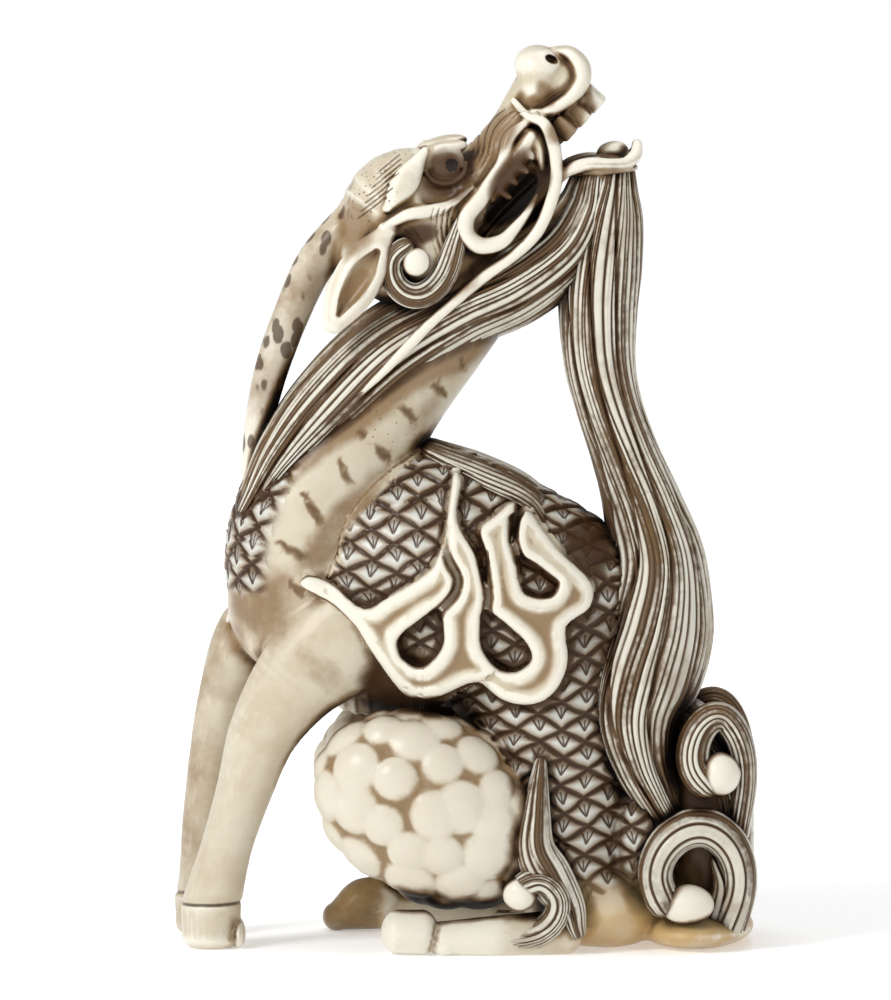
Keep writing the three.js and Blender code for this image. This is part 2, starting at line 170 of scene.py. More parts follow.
def smooth_min(a, b, k):
    """The lesser of a and b, rounded off where they differ by less than k."""
    return np.minimum(a, b) - np.maximum(k - np.abs(a - b), 0) ** 2 / (4 * k)


class Form:
    """A shape joined to what is there, or cut from it, with a fillet of about blend millimetres."""

    def __init__(self, shape, blend=0.3, cut=False):
        self.shape, self.blend, self.cut = shape, blend, cut

    def apply(self, d, p, reach=3.0):
        margin = reach + self.blend
        near = np.all((p > self.shape.low - margin) & (p < self.shape.high + margin), axis=1)
        if near.any():
            e = self.shape.distance(p[near])
            d[near] = -smooth_min(-d[near], e, self.blend) if self.cut else smooth_min(d[near], e, self.blend)


FAR_OFF = 9.0
BATCH = 200_000


def field(p, forms, reach=3.0):
    """The distance from each point to the skin of all the forms together, cut off at the floor."""
    d = np.full(len(p), FAR_OFF)
    for form in forms:
        form.apply(d, p, reach)
    return np.maximum(d, -p[:, 2])


class Grid:
    """Distances on a block of points, refined near the skin by halving the step."""

    def __init__(self, forms, step, low, high, halvings=0, reach=3.0):
        size = step * 2**halvings
        self.low, self.step = np.array(low, float), step
        count = np.ceil((np.array(high) - low) / size).astype(int) + 1
        index = np.stack(np.meshgrid(*(np.arange(n) for n in count), indexing="ij"), axis=-1).reshape(-1, 3)
        d = field(self.low + index * size, forms, max(reach, 3 * size))
        values = d.reshape(count).astype(np.float32)
        octants = np.stack(np.meshgrid([0, 1], [0, 1], [0, 1], indexing="ij"), axis=-1).reshape(-1, 3)
        for _ in range(halvings):
            values = values.repeat(2, 0).repeat(2, 1).repeat(2, 2)
            near = np.abs(d) < 2.0 * size
            index = (index[near][:, None] * 2 + octants).reshape(-1, 3)
            size /= 2
            d = field(self.low + index * size, forms, max(reach, 3 * size))
            values[tuple(index.T)] = d
        self.values = values

    def skin(self):
        """Vertices in millimetres and quads."""
        grid = openvdb.FloatGrid(background=FAR_OFF)
        grid.copyFromArray(np.clip(self.values, -3 * self.step, 3 * self.step))
        points, quads = grid.convertToQuads()
        return self.low + points.astype(float) * self.step, quads.astype(int)

    def at(self, p):
        """The distance at each point, interpolated."""
        q = (p - self.low) / self.step
        i = np.clip(np.floor(q).astype(int), 0, np.array(self.values.shape) - 2)
        f = np.clip(q - i, 0, 1)
        total = np.zeros(len(p))
        for dx in (0, 1):
            for dy in (0, 1):
                for dz in (0, 1):
                    weight = np.prod(np.abs(np.array([1 - dx, 1 - dy, 1 - dz]) - f), axis=1)
                    total += weight * self.values[i[:, 0] + dx, i[:, 1] + dy, i[:, 2] + dz]
        return total


# ---------------------------------------------------------------- the beast's forms


def limb(stations, blend, **options):
    return Form(Sweep(stations, **options), blend)


def limbs(stations, blend=0.3, cut=False):
    """A limb on each flank."""
    return [Form(Sweep(mirrored(stations, side)), blend, cut) for side in SIDES]


def eggs(centre, radii, tilt=0.0, blend=0.4, cut=False):
    """An egg on each flank."""
    x, y, z = centre
    return [Form(Egg([x, y * side, z], radii, tilt), blend, cut) for side in SIDES]


TRUNK = [
    [-15.5, 0, 38, 10.5, 8.5],
    [-12.5, 0, 38, 13, 10.5],
    [-4.1, 0, 39, 15.4, 13],
    [3, 0, 37.2, 13.8, 13.5],
    [7.6, 0, 34, 13.2, 13.2],
    [9, 0, 27, 10.6, 12.8],
    [10.5, 0, 14, 8.6, 12.4],
    [12, 0, 7.5, 7, 11.5],
]
NECK = [
    [-18.4, 0, 37.3, 7.9, 9],
    [-17.8, 0, 44.4, 8.6, 9.5],
    [-14.5, 0, 52.1, 8.2, 8.5],
    [-9, 0, 59.8, 6.4, 7],
    [-3, 0, 67, 5.5, 6],
    [1.4, 0, 72.5, 5, 6],
]
SKULL = [
    [-9.4, 0, 76.3, 5, 6],
    [-7, 0, 80.6, 6.6, 7.4],
    [-2.6, 0, 81.8, 5.6, 7.2],
    [0.9, 0, 84.6, 3.3, 5.6],
    [4.2, 0, 88.6, 2.5, 4.4],
    [6.8, 0, 92, 2.9, 3.8],
    [8.6, 0, 94.8, 3.1, 3.6],
]
THROAT_WALL = [[1.5, 0, 78, 3, 2], [5, 0, 81.6, 3, 2], [8.2, 0, 85, 2.3, 2]]
JAW = [
    [-4, 0, 70.6, 4, 6.4],
    [2.4, 0, 72.4, 3.8, 6.2],
    [7.2, 0, 74.9, 3.6, 5.8],
    [10.6, 0, 77.9, 3.4, 5.2],
    [12.6, 0, 81, 2.8, 4.8],
    [14.4, 0, 84.6, 2.2, 4.2],
]
LIP_RIM = [
    [10, 4.9, 84.4, 0.5],
    [11.2, 4.8, 85.5, 0.7],
    [13.4, 4.6, 86.1, 0.75],
    [15.6, 4.2, 86, 0.7],
    [17.4, 3.2, 86.1, 0.7],
    [18.5, 2, 87, 0.7],
    [18.7, 1.2, 88, 0.55],
]
UPPER_LIP = [
    [9.6, 1.2, 98.2, 0.55, 1.2],
    [11.3, 1.5, 97.8, 0.9, 1.6],
    [12.4, 2, 96.4, 1.15, 1.8],
    [12.3, 2.4, 94.8, 1.1, 1.8],
    [10.9, 3, 93.1, 0.9, 1.6],
    [8.6, 3.5, 91.8, 0.75, 1.2],
    [7.2, 3.7, 91.8, 0.5, 0.9],
]
PALATE = [[1, 0, 80.5, 3, 4.4], [4.6, 0, 84, 2.2, 3.8], [7.6, 0, 87.8, 1.9, 3.2], [9.2, 0, 91, 2, 3]]
UPPER_TEETH = [[12.6, 0, 93.2, 1.2, 2.2], [9.8, 0, 89.6, 1.5, 2.9], [6.8, 0, 87.2, 1.2, 3]]
MOUTH_LIPS = [
    [6.4, 4.2, 90.6, 0.5],
    [4.6, 4.7, 88.9, 0.7],
    [3.8, 5.2, 86, 0.8],
    [1.6, 6.1, 82.7, 0.95],
    [-0.1, 6.8, 80.4, 1.0],
    [0, 7, 78.4, 1.0],
    [1.6, 6.9, 77.3, 0.95],
    [3.7, 6.7, 77.7, 0.85],
    [5.2, 6.4, 79.1, 0.65],
    [6.7, 6, 81, 0.42],
    [7.7, 5.6, 82.8, 0.2],
]
WHISKER = [
    [5.2, 3.6, 93, 0.4],
    [6.6, 4.1, 91.4, 0.6],
    [8.4, 4.7, 90.6, 0.66],
    [9.5, 5.2, 88, 0.7],
    [9.8, 5.6, 84.9, 0.7],
    [9.1, 5.9, 81.8, 0.7],
    [7.6, 6.2, 78.7, 0.7],
    [5.3, 6.4, 76.4, 0.7],
    [2.2, 6.7, 74.1, 0.7],
    [-0.9, 7.1, 71.6, 0.7],
    [-4, 7.6, 68.9, 0.65],
    [-6.8, 7.9, 66, 0.6],
    [-10, 8, 62.8, 0.45],
    [-13, 7.7, 60, 0.25],
]
BROW = [[-8.6, 7, 81.4, 0.6, 1], [-6.9, 7.2, 84, 1.5, 1], [-4.6, 6.3, 87.6, 0.5, 0.8]]
CHEEK_RIDGE = [
    [-9, 7.6, 79.4, 0.5, 0.6],
    [-6.4, 7.7, 80.8, 0.8, 0.8],
    [-3.8, 7.3, 81.2, 0.7, 0.7],
    [-1.5, 6.7, 82, 0.5, 0.6],
    [0.6, 6, 83.6, 0.3, 0.5],
]
EAR = [
    [-8.8, 7.2, 78.6, 1.2, 1.4],
    [-11, 8.2, 75.3, 2.6, 1.6],
    [-13.2, 8.8, 71.6, 2.4, 1.3],
    [-14.7, 9, 68.8, 1.2, 0.9],
]
EAR_HOLLOW = [
    [-9.8, 9.6, 76.8, 0.5, 0.8],
    [-11.3, 10.2, 74.6, 1.5, 1.4],
    [-13, 10.4, 71.8, 1.1, 1.3],
    [-14, 10.2, 70, 0.4, 0.6],
]
MOUTH_HOLLOW = [
    [6.4, 7.6, 89.3, 1, 3.4],
    [6.4, 7.6, 87, 1.9, 3.6],
    [5.4, 8, 84, 1.9, 3.8],
    [3.4, 8.6, 81, 1.6, 4],
]
MOUTH_SLOT = [
    [2.1, 7.6, 78.9, 1, 5.6],
    [4.4, 7.2, 81.4, 1.15, 5.6],
    [7.8, 6.6, 84.6, 1, 5],
]
GUM = [
    [7, 3.4, 89, 1.1, 1.7],
    [5.2, 3.8, 86.4, 1.3, 1.9],
    [3.7, 4.2, 84.2, 1.1, 1.9],
    [2.7, 4.4, 82.6, 0.7, 1.4],
]
LEG_FOLD = [
    [-26.2, 1.6, 35.4, 0.4],
    [-25.4, -1.2, 36.4, 0.6],
    [-23.6, -4.2, 36.2, 0.7],
    [-21.8, -6.2, 34.6, 0.55],
    [-20.4, -7.6, 32.4, 0.3],
]
HORN = [
    [-12, 0, 80, 2.4],
    [-16.4, 0, 75.2, 2.2],
    [-19.1, 0, 69.7, 2],
    [-21.5, 0, 63.1, 1.85],
    [-23, 0, 56.5, 1.5],
    [-23.9, 0, 50, 0.9],
]
NEAR_FORELEG = [
    [-11.5, -7, 36, 6, 4.5],
    [-15.4, -7.4, 32.8, 5.9, 4.5],
    [-19.2, -7.4, 28.8, 4.8, 4.2],
    [-22.4, -6.8, 23.6, 3.8, 3.6],
    [-24.4, -6.2, 17.5, 3.1, 3.1],
    [-26.3, -6, 11.4, 2.8, 2.9],
    [-27.6, -6, 6.6, 3.1, 3.2],
    [-28, -6, 5, 3.2, 3.3],
]
NEAR_FOREHOOF = [[-28.1, -6, 4.6, 3.3, 3.5], [-28.1, -6, 1.2, 3.2, 3.4]]
FAR_FORELEG = [
    [-20, 6, 36, 4.5, 4],
    [-23.9, 6, 33, 4, 4],
    [-26.3, 6, 26.3, 3.4, 3.4],
    [-27.7, 6, 19.7, 3, 3],
    [-28.7, 6, 13.1, 2.7, 2.8],
    [-29.3, 6, 7.1, 2.5, 2.8],
    [-29.4, 6, 5, 2.7, 3],
]
FAR_FOREHOOF = [[-29.4, 6, 4.2, 2.9, 3.2], [-29.4, 6, 1.2, 2.8, 3.1]]
NEAR_HIND = [[-2.6, -12.4, 1.7, 1.9, 2.6], [3, -12.4, 1.9, 2.3, 2.8], [10, -11, 2.1, 2.6, 3]]
NEAR_HINDHOOF = [[-7.6, -12.6, 2.5, 2.4, 3], [-5, -12.6, 2.4, 2.5, 3]]
FAR_HIND = [[-10, 10.8, 2.4, 2.3, 2.8], [4, 12, 1.9, 2.3, 2.8], [10, 11, 2.1, 2.6, 3]]
FAR_HINDHOOF = [[-14.4, 10.5, 1.5, 1.6, 2.6], [-11.8, 10.5, 2.7, 2.8, 3.2], [-9.6, 10.5, 3.4, 2.7, 3.2]]

trunk = Sweep(TRUNK)
neck = Sweep(NECK)
haunch = Egg([19, 0, 12], [5, 10.5, 8.5])


class Thigh(Egg):
    """An egg covered with round lumps of several sizes, spread unevenly."""

    LUMPS = 60
    CANDIDATES = 24
    HEIGHT = 0.95

    def __init__(self, side):
        super().__init__([-3.5, 9.1 * side, 15.6], (13.3, 6.7, 9.6), tilt=-25)
        chosen = [np.array([0.0, side, 0.0])]
        while len(chosen) < self.LUMPS:
            drawn = rng.normal(size=(self.CANDIDATES, 3))
            drawn /= np.linalg.norm(drawn, axis=1)[:, None]
            apart = np.linalg.norm((drawn[:, None] - np.array(chosen)) * self.radii, axis=2).min(axis=1)
            chosen.append(drawn[apart.argmax()])
        self.lumps = np.array(chosen)
        self.spans = rng.uniform(2.8, 3.8, self.LUMPS)

    def dome(self, p):
        """1 on top of a lump, falling to 0 in the valleys between."""
        unit = np.stack([a / r for a, r in zip(self.local(p), self.radii)], axis=1)
        unit /= np.maximum(np.linalg.norm(unit, axis=1), 1e-6)[:, None]
        gaps = np.linalg.norm((unit[:, None] - self.lumps[None]) * self.radii, axis=2)
        domes = np.sort(1 - (gaps / self.spans) ** 2, axis=1)
        highest = -smooth_min(-domes[:, -1], -domes[:, -2], 0.16)
        return np.maximum(highest, 0) ** 0.9

    def distance(self, p):
        d = super().distance(p)
        close = np.abs(d) < 2.5
        d[close] -= self.HEIGHT * (self.dome(p[close]) - 0.1)
        return d


thighs = {side: Thigh(side) for side in SIDES}


class Block:
    """A rounded box, its long axis turned by tilt degrees in the XZ plane and by swing degrees about Z."""

    def __init__(self, centre, half, tilt=0.0, swing=0.0, rounding=0.25):
        self.centre, self.half, self.rounding = np.array(centre, float), np.array(half, float), rounding
        t, w = math.radians(tilt), math.radians(swing)
        turn_tilt = np.array([[math.cos(t), 0, math.sin(t)], [0, 1, 0], [-math.sin(t), 0, math.cos(t)]])
        turn_swing = np.array([[math.cos(w), math.sin(w), 0], [-math.sin(w), math.cos(w), 0], [0, 0, 1]])
        self.axes = turn_swing @ turn_tilt
        reach = np.linalg.norm(half)
        self.low, self.high = self.centre - reach, self.centre + reach

    def distance(self, p):
        q = np.abs((p - self.centre) @ self.axes.T) - (self.half - self.rounding)
        outside = np.linalg.norm(np.maximum(q, 0), axis=1)
        return outside + np.minimum(q.max(axis=1), 0) - self.rounding


# ---------------------------------------------------------------- the flame capes on the shoulders

FLAME_OUTLINE = [
    [-18.3, 40.4], [-17.5, 41.3], [-16, 41], [-14.3, 40.1], [-11.2, 37.9], [-8.5, 39.3], [-4.4, 41.9],
    [-3.2, 43.6], [-2.5, 45.6], [-2, 48.5], [-1.4, 52.4], [-0.7, 51.6], [-1.2, 48.7], [-0.7, 46.6],
    [0.9, 44.1], [1.9, 40.8], [2, 44.1], [1.4, 46.6], [3.2, 48.1], [5.2, 49.3], [4.8, 45.2],
    [6.4, 48.5], [8.5, 46.2], [10.2, 44.1], [13.5, 40.8], [13.4, 38.2], [10.8, 36.2], [11, 32.7],
    [10.2, 30], [8.5, 28.2], [6.2, 27.6], [3.6, 28.2], [0.9, 30], [-2.9, 28.3], [-5.4, 27.9],
    [-7.2, 28.7], [-10.5, 33.3], [-12.2, 36], [-14.3, 38], [-16.8, 39.4],
]
FLAME_HOLES = [
    [
        [-3.2, 38.1], [-2.5, 35.3], [-2.9, 33.5], [-4.4, 31.8],
        [-5.7, 31.6], [-7.2, 32.7], [-7.6, 34.5], [-6.4, 36],
    ],
    [[2, 38], [5.7, 35.3], [7, 33.5], [6.8, 32.2], [5.4, 31.2], [3.6, 31.4], [2.2, 32.7], [1.4, 34.7]],
    [[5.7, 43.8], [9.5, 41.5], [10, 40.5], [9.2, 39.4], [7.5, 39.3], [5.9, 40.3]],
]
FLAME_CLEFTS = [
    [[-3.4, 37.6], [-1.5, 39.6], [-1.0, 41.4], [-1.9, 43.2], [-2.5, 45], [-2.5, 46.8]],
    [[2, 37.4], [2.3, 39.4], [2.1, 41.6], [1.6, 44]],
    [[5.7, 43.4], [5.1, 45.4], [5.0, 47.6]],
]
FLAME_HEIGHT, FLAME_ROUND, FLAME_RECESS, CLEFT_DEPTH = 2.3, 0.65, 0.42, 0.9
TABLE_STEP = 0.1
FLAME_LOW, FLAME_HIGH = [-21.0, 25.0], [16.0, 55.0]
FLAME_NEAREST, FLAME_FARTHEST = 4.0, 19.0


def closed_curve(points, per_span=4):
    """Samples round a smooth loop through the points."""
    loop = points[-1:] + points + points[:2]
    return spline(loop, per_span)[per_span : -per_span]


def distance_to_line(q, line):
    """The distance in a plane from each point of q to a polyline, and the crossing count of a ray to +X."""
    best = np.full(len(q), 1e9)
    crossings = np.zeros(len(q), int)
    for a, b in zip(line, line[1:]):
        best = np.minimum(best, off_segment(q, a, b)[0])
        spans = (a[1] > q[:, 1]) != (b[1] > q[:, 1])
        rise = b[1] - a[1] if abs(b[1] - a[1]) > 1e-9 else 1e-9
        crossings += spans & (q[:, 0] < a[0] + (q[:, 1] - a[1]) / rise * (b[0] - a[0]))
    return best, crossings


def flame_table():
    """How far inside the flames' edge each point of a flat grid is, and how far from a cleft."""
    low = np.array(FLAME_LOW)
    count = ((np.array(FLAME_HIGH) - low) / TABLE_STEP).astype(int)
    index = np.stack(np.meshgrid(*(np.arange(n) for n in count), indexing="ij"), axis=-1).reshape(-1, 2)
    q = low + TABLE_STEP * index
    edge, crossings = distance_to_line(q, closed_curve(FLAME_OUTLINE))
    inside = np.where(crossings % 2 == 1, edge, -edge)
    for hole in FLAME_HOLES:
        edge, crossings = distance_to_line(q, closed_curve(hole))
        inside = np.minimum(inside, np.where(crossings % 2 == 1, -edge, edge))
    from_cleft = np.full(len(q), FAR_OFF)
    for cleft in FLAME_CLEFTS:
        from_cleft = np.minimum(from_cleft, distance_to_line(q, spline(cleft))[0])
    return np.stack([inside, from_cleft], axis=-1).reshape(*count, 2)


FLAME_TABLE = flame_table()


def read_flames(p):
    """For each point: how far inside the flames' edge it is, and how far from the middle of a cleft."""
    q = (p[:, [0, 2]] - FLAME_LOW) / TABLE_STEP
    i = np.clip(np.floor(q).astype(int), 0, np.array(FLAME_TABLE.shape[:2]) - 2)
    f = np.clip(q - i, 0, 1)
    a, b = FLAME_TABLE[i[:, 0], i[:, 1]], FLAME_TABLE[i[:, 0] + 1, i[:, 1]]
    c, d = FLAME_TABLE[i[:, 0], i[:, 1] + 1], FLAME_TABLE[i[:, 0] + 1, i[:, 1] + 1]
    fx, fz = f[:, :1], f[:, 1:]
    return ((a * (1 - fx) + b * fx) * (1 - fz) + (c * (1 - fx) + d * fx) * fz).T


class Flames:
    """A plate of flame tongues on the trunk's flank, with rounded rims and a shallow recess between them."""

    def __init__(self, side):
        self.side = side
        inner, outer = sorted([FLAME_NEAREST * side, FLAME_FARTHEST * side])
        self.low = np.array([FLAME_LOW[0], inner, FLAME_LOW[1]])
        self.high = np.array([FLAME_HIGH[0], outer, FLAME_HIGH[1]])

    def distance(self, p):
        inside, from_cleft = read_flames(p)
        short = np.clip(FLAME_ROUND - inside, 0, FLAME_ROUND)
        height = FLAME_HEIGHT - FLAME_ROUND + np.sqrt(FLAME_ROUND**2 - short**2)
        height -= FLAME_RECESS * ease(0.9, 2.3, np.minimum(inside, from_cleft - 0.3))
        height -= CLEFT_DEPTH * ease(0.85, 0.2, from_cleft)
        return np.maximum(np.maximum(trunk.distance(p) - height, -inside), 4.5 - p[:, 1] * self.side)


# ---------------------------------------------------------------- pieces as lists of forms

MUZZLE_TILT = 48


def teeth():
    """Front teeth in an arc under the nose, and pointed molars along each gum."""
    made = []
    for side in SIDES:
        for k in range(3):
            centre = [13.6 - 1.5 * k, side * (1.2 + 0.8 * k), 93.1 - 1.5 * k]
            made.append(Form(Block(centre, [0.98, 0.95, 1.35], MUZZLE_TILT, 16 * side, 0.3), 0.05))
        for k in range(4):
            centre = [6.8 - 0.95 * k, side * (4.6 + 0.2 * k), 87.2 - 1.4 * k]
            made.append(Form(Egg(centre, [0.9 + 0.25 * (k % 2), 0.7, 0.6 - 0.06 * k], -34), 0.25))
    return made


EYE = [-2.4, 5.1, 86.2]


def lid(side, radius, half, start, sweep):
    """A fold round the eye, from an angle in degrees and over a sweep of degrees."""
    stations = []
    for share in np.linspace(0, 1, 7):
        angle = math.radians(start + sweep * share)
        x, z = EYE[0] + 1.1 * radius * math.cos(angle), EYE[2] + radius * math.sin(angle)
        y = side * (EYE[1] + 1.9 - 0.5 * radius)
        stations.append([x, y, z, half * (0.5 + math.sin(math.pi * share) / 2)])
    return Form(Sweep(stations), 0.25)


UPPER_LID = (1.7, 0.5, 190, -195)
LOWER_LID = (2.1, 0.38, -195, 200)
LOWER_FOLD = (3.1, 0.3, -170, 150)

head_forms = [
    # skull, jaw and the lower lip's plate
    limb(SKULL, 1.2),
    Form(Egg([-4.2, 0, 75.6], [7.4, 7.4, 6.6]), 1.5),
    limb(JAW, 1.0),
    limb(PALATE, 0.8),
    limb(THROAT_WALL, 0.6),
    Form(Egg([14.6, 0, 85.2], [4.2, 4.8, 0.9], 4), 0.5),
    Form(Egg([16, 0.8, 87], [1.8, 1.6, 1.3], 10), 0.4),
    # nose and nostrils
    Form(Egg([9.9, 0, 95.2], [3, 3.8, 3]), 0.6),
    *eggs([7.9, 1.9, 96.6], [2.7, 2.8, 2.2], -8),
    *eggs([7.6, 2.2, 94.6], [1.9, 2.3, 2.2], -15, 0.8),
    *eggs([9.3, 3.7, 97.5], [0.75, 1.1, 0.4], -22, 0.25, cut=True),
    # mouth
    *limbs(UPPER_LIP, 0.25),
    limb(UPPER_TEETH, 0.3),
    *limbs(MOUTH_HOLLOW, 0.5, cut=True),
    *limbs(MOUTH_SLOT, 0.3, cut=True),
    *eggs([8, 3.4, 87.6], [1, 1.5, 2.4], 12, 0.5),
    *limbs(GUM, 0.4),
    *teeth(),
    # eyes
    *eggs([EYE[0] - 0.2, 8.1, EYE[2] - 1.6], [3.1, 2.7, 3.9], -15, cut=True),
    *eggs(EYE, [2.1, 1.55, 2], blend=0.1),
    *eggs([EYE[0] - 0.2, 4.9, EYE[2] + 1.5], [2.7, 1.9, 0.95], 12, 0.25),
    *(lid(side, *fold) for side in SIDES for fold in (UPPER_LID, LOWER_LID, LOWER_FOLD)),
    # raised lines, ears and horn
    *limbs(BROW, 0.4),
    *limbs(CHEEK_RIDGE, 0.5),
    *limbs(MOUTH_LIPS),
    *limbs(LIP_RIM),
    *limbs(WHISKER, 0.15),
    *limbs(EAR, 0.5),
    *limbs(EAR_HOLLOW, 0.2, cut=True),
    limb(HORN, 0.6),
]

body_forms = [
    Form(trunk, 1.2),
    Form(Egg([15, 0, 4.6], [7.5, 12, 5.4]), 1.2),
    Form(neck, 1.5),
    # forelegs
    limb(NEAR_FORELEG, 0.8),
    limb(NEAR_FOREHOOF, 0.15, blunt=0.5),
    limb(FAR_FORELEG, 0.8),
    limb(FAR_FOREHOOF, 0.15, blunt=0.5),
    # hind legs
    *(Form(thighs[side], 0.6) for side in SIDES),
    limb(NEAR_HIND, 0.4),
    limb(NEAR_HINDHOOF, 0.12, blunt=0.75),
    limb(LEG_FOLD, 0.3),
    Form(Egg([-2.3, -13.6, 1], [1.3, 1.4, 1], 10), 0.15),
    Form(Egg([-25.1, -6.2, 1.6], [0.8, 2.4, 1.7], 0), 0.15),
    limb(FAR_HIND, 0.4),
    limb(FAR_HINDHOOF, 0.3),
    # rump and the core behind the curls
    Form(Egg([25, 0, 1.9], [6.6, 12.6, 2.4]), 0.8),
    Form(Egg([25.6, 0, 13.4], [5.6, 8.6, 12.6]), 0.8),
    Form(haunch, 1.0),
    *(Form(Flames(side), 0.1) for side in SIDES),
]

# ---------------------------------------------------------------- fine carving on the body and the head

SCALE_WIDE, SCALE_TALL = 5.2, 3.1
STEEP = math.radians(48)
SADDLE_EDGE_Z = [38, 41.6, 43.2, 46.5, 49.1, 52.7, 55.1, 58]
SADDLE_EDGE_X = [-18, -17.4, -16.6, -14.6, -12.2, -8.9, -5, 0]
SADDLE_RISE, SADDLE_HEM = 0.45, 1.1


def inside_saddle(p):
    """How far behind the front edge of the scaled saddle a point is, in millimetres."""
    return 0.72 * (p[:, 0] - np.interp(p[:, 2], SADDLE_EDGE_Z, SADDLE_EDGE_X))


def scale_lattice(p):
    """For each point: its offsets across and down the lattice of scales, and how fully it is scaled."""
    place, u, v, _, size = trunk.local(p)
    tall = np.interp(place, np.arange(len(trunk.centre)), trunk.size[:, 0])
    turn = np.arctan2(np.abs(v) / size[:, 1], u / size[:, 0])
    on_top = (turn < STEEP) & (p[:, 2] > 40)
    middle = p[:, 2] - u
    down = np.where(on_top, -(middle + tall * math.cos(STEEP)) - 0.75 * tall * (STEEP - turn), -p[:, 2])
    off = np.minimum(trunk.distance(p), haunch.distance(p))
    across = p[:, 0] + 0.18 * np.sin(0.8 * p[:, 2] + 0.5 * p[:, 0]) + 0.09 * np.sin(1.9 * p[:, 0] - p[:, 2])
    down = down + 0.14 * np.sin(0.9 * p[:, 0] + 1) + 0.07 * np.sin(1.7 * p[:, 2] + 1.3 * p[:, 0])
    amount = ease(1.0, 0.5, off) * ease(4.8, 6.6, p[:, 2])
    amount *= ease(SADDLE_HEM - 0.1, SADDLE_HEM + 0.3, inside_saddle(p))
    amount *= 1 - ease(34, 32, p[:, 2]) * ease(-0.5, -3.5, p[:, 0])
    neck_place, nu, nv, _, nsize = neck.local(p)
    chest = (np.abs(neck.distance(p)) < 0.8) & (inside_saddle(p) < 0)
    neck_along = np.interp(neck_place, np.arange(len(neck.centre)), arc_lengths(neck.centre))
    neck_turn = np.arctan2(nv / nsize[:, 1], nu / nsize[:, 0])
    across = np.where(chest, neck_turn * nsize.mean(axis=1), across)
    down = np.where(chest, -neck_along, down)
    front = ease(1.2, 0.95, np.abs(neck_turn)) * ease(15.5, 13.5, neck_along) * ease(38.5, 40, p[:, 2])
    return across, down, np.where(chest, front, amount)


NICK_LOW, NICK_SLOPE, NICK_TOP = 0.4, 0.55, -1.05


def scale_profile(across, down):
    """The height of the scales, each a diamond that rises to its lower tip and is nicked above."""
    a = across / SCALE_WIDE + down / SCALE_TALL
    b = across / SCALE_WIDE - down / SCALE_TALL
    fa, fb = a % 1, b % 1
    edge = np.minimum(np.minimum(fa, 1 - fa), np.minimum(fb, 1 - fb))
    height = 0.26 * ease(0.03, 0.15, edge) + 0.16 * (fa + 1 - fb) / 2
    cu, cv = np.abs(fa + fb - 1) * SCALE_WIDE / 2, (fa - fb) * SCALE_TALL / 2
    nick = ease(0.15, -0.15, cu - NICK_SLOPE * (NICK_LOW - cv)) * ease(NICK_TOP - 0.1, NICK_TOP + 0.15, cv)
    return height - 0.17 * nick - 0.28


def make_mesh(name, points, faces):
    mesh = bpy.data.meshes.new(name)
    mesh.vertices.add(len(points))
    mesh.vertices.foreach_set("co", points.astype(np.float32).ravel())
    size = faces.shape[1]
    mesh.loops.add(faces.size)
    mesh.loops.foreach_set("vertex_index", faces.astype(np.int32).ravel())
    mesh.polygons.add(len(faces))
    mesh.polygons.foreach_set("loop_start", np.arange(0, faces.size, size, dtype=np.int32))
    mesh.polygons.foreach_set("use_smooth", np.ones(len(faces), bool))
    mesh.update(calc_edges=True)
    return mesh


def vertices_of(mesh):
    points = np.empty(len(mesh.vertices) * 3)
    mesh.vertices.foreach_get("co", points)
    return points.reshape(-1, 3)


def normals_of(mesh):
    normals = np.empty(len(mesh.vertices) * 3)
    mesh.vertex_normals.foreach_get("vector", normals)
    return normals.reshape(-1, 3)


def thinned(mesh, triangles):
    """The mesh collapsed to about that many triangles, keeping most where it is most carved."""
    count = sum(len(face.vertices) - 2 for face in mesh.polygons)
    piece = bpy.data.objects.new("thinning", mesh)
    bpy.context.collection.objects.link(piece)
    thinner = piece.modifiers.new("thinner", "DECIMATE")
    thinner.ratio = min(1.0, triangles / count)
    made = bpy.data.meshes.new_from_object(piece.evaluated_get(bpy.context.evaluated_depsgraph_get()))
    bpy.data.objects.remove(piece)
    bpy.data.meshes.remove(mesh)
    made.polygons.foreach_set("use_smooth", np.ones(len(made.polygons), bool))
    return made


SCUTES = [
    [-10.4, 55.6, -8.2, 53.6],
    [-13.9, 54, -12.6, 50.6],
    [-18, 50.2, -15.4, 46.4],
    [-20.6, 45, -17.4, 43],
    [-19.6, 40.4, -16.4, 38.4],
    [-12, 57.6, -11.2, 56.2],
    [-7.2, 59.6, -5.6, 58.2],
    [-3.6, 62, -2, 60.4],
    [-0.8, 64.6, 0.8, 63],
    [2.2, 67.4, 3.6, 66],
    [5, 69.6, 6.2, 68.4],
]
SCUTE_THIN, SCUTE_WIDE = 0.2, 0.65


def scutes(p):
    """Tapered dashes stained down the throat and across the chest, from 0 off them to 1 in the middle."""
    best = np.zeros(len(p))
    for x0, z0, x1, z1 in SCUTES:
        off, t = off_segment(p[:, [0, 2]], np.array([x0, z0]), np.array([x1, z1]))
        wide = SCUTE_THIN + (SCUTE_WIDE - SCUTE_THIN) * np.sin(math.pi * t)
        best = np.maximum(best, ease(1.6, 0.2, off / wide))
    on_neck = (np.abs(neck.distance(p)) < 2.6) & (inside_saddle(p) < 0)
    return best * on_neck * (np.abs(p[:, 1]) > 1)


HOOF_LINE = 5.0


def hoof_line(p):
    """The cut round the top of the front hooves."""
    level = p[:, 2] - HOOF_LINE - 0.03 * (p[:, 0] + 28)
    return (p[:, 0] < -22) * ease(0.34, 0.1, np.abs(level))


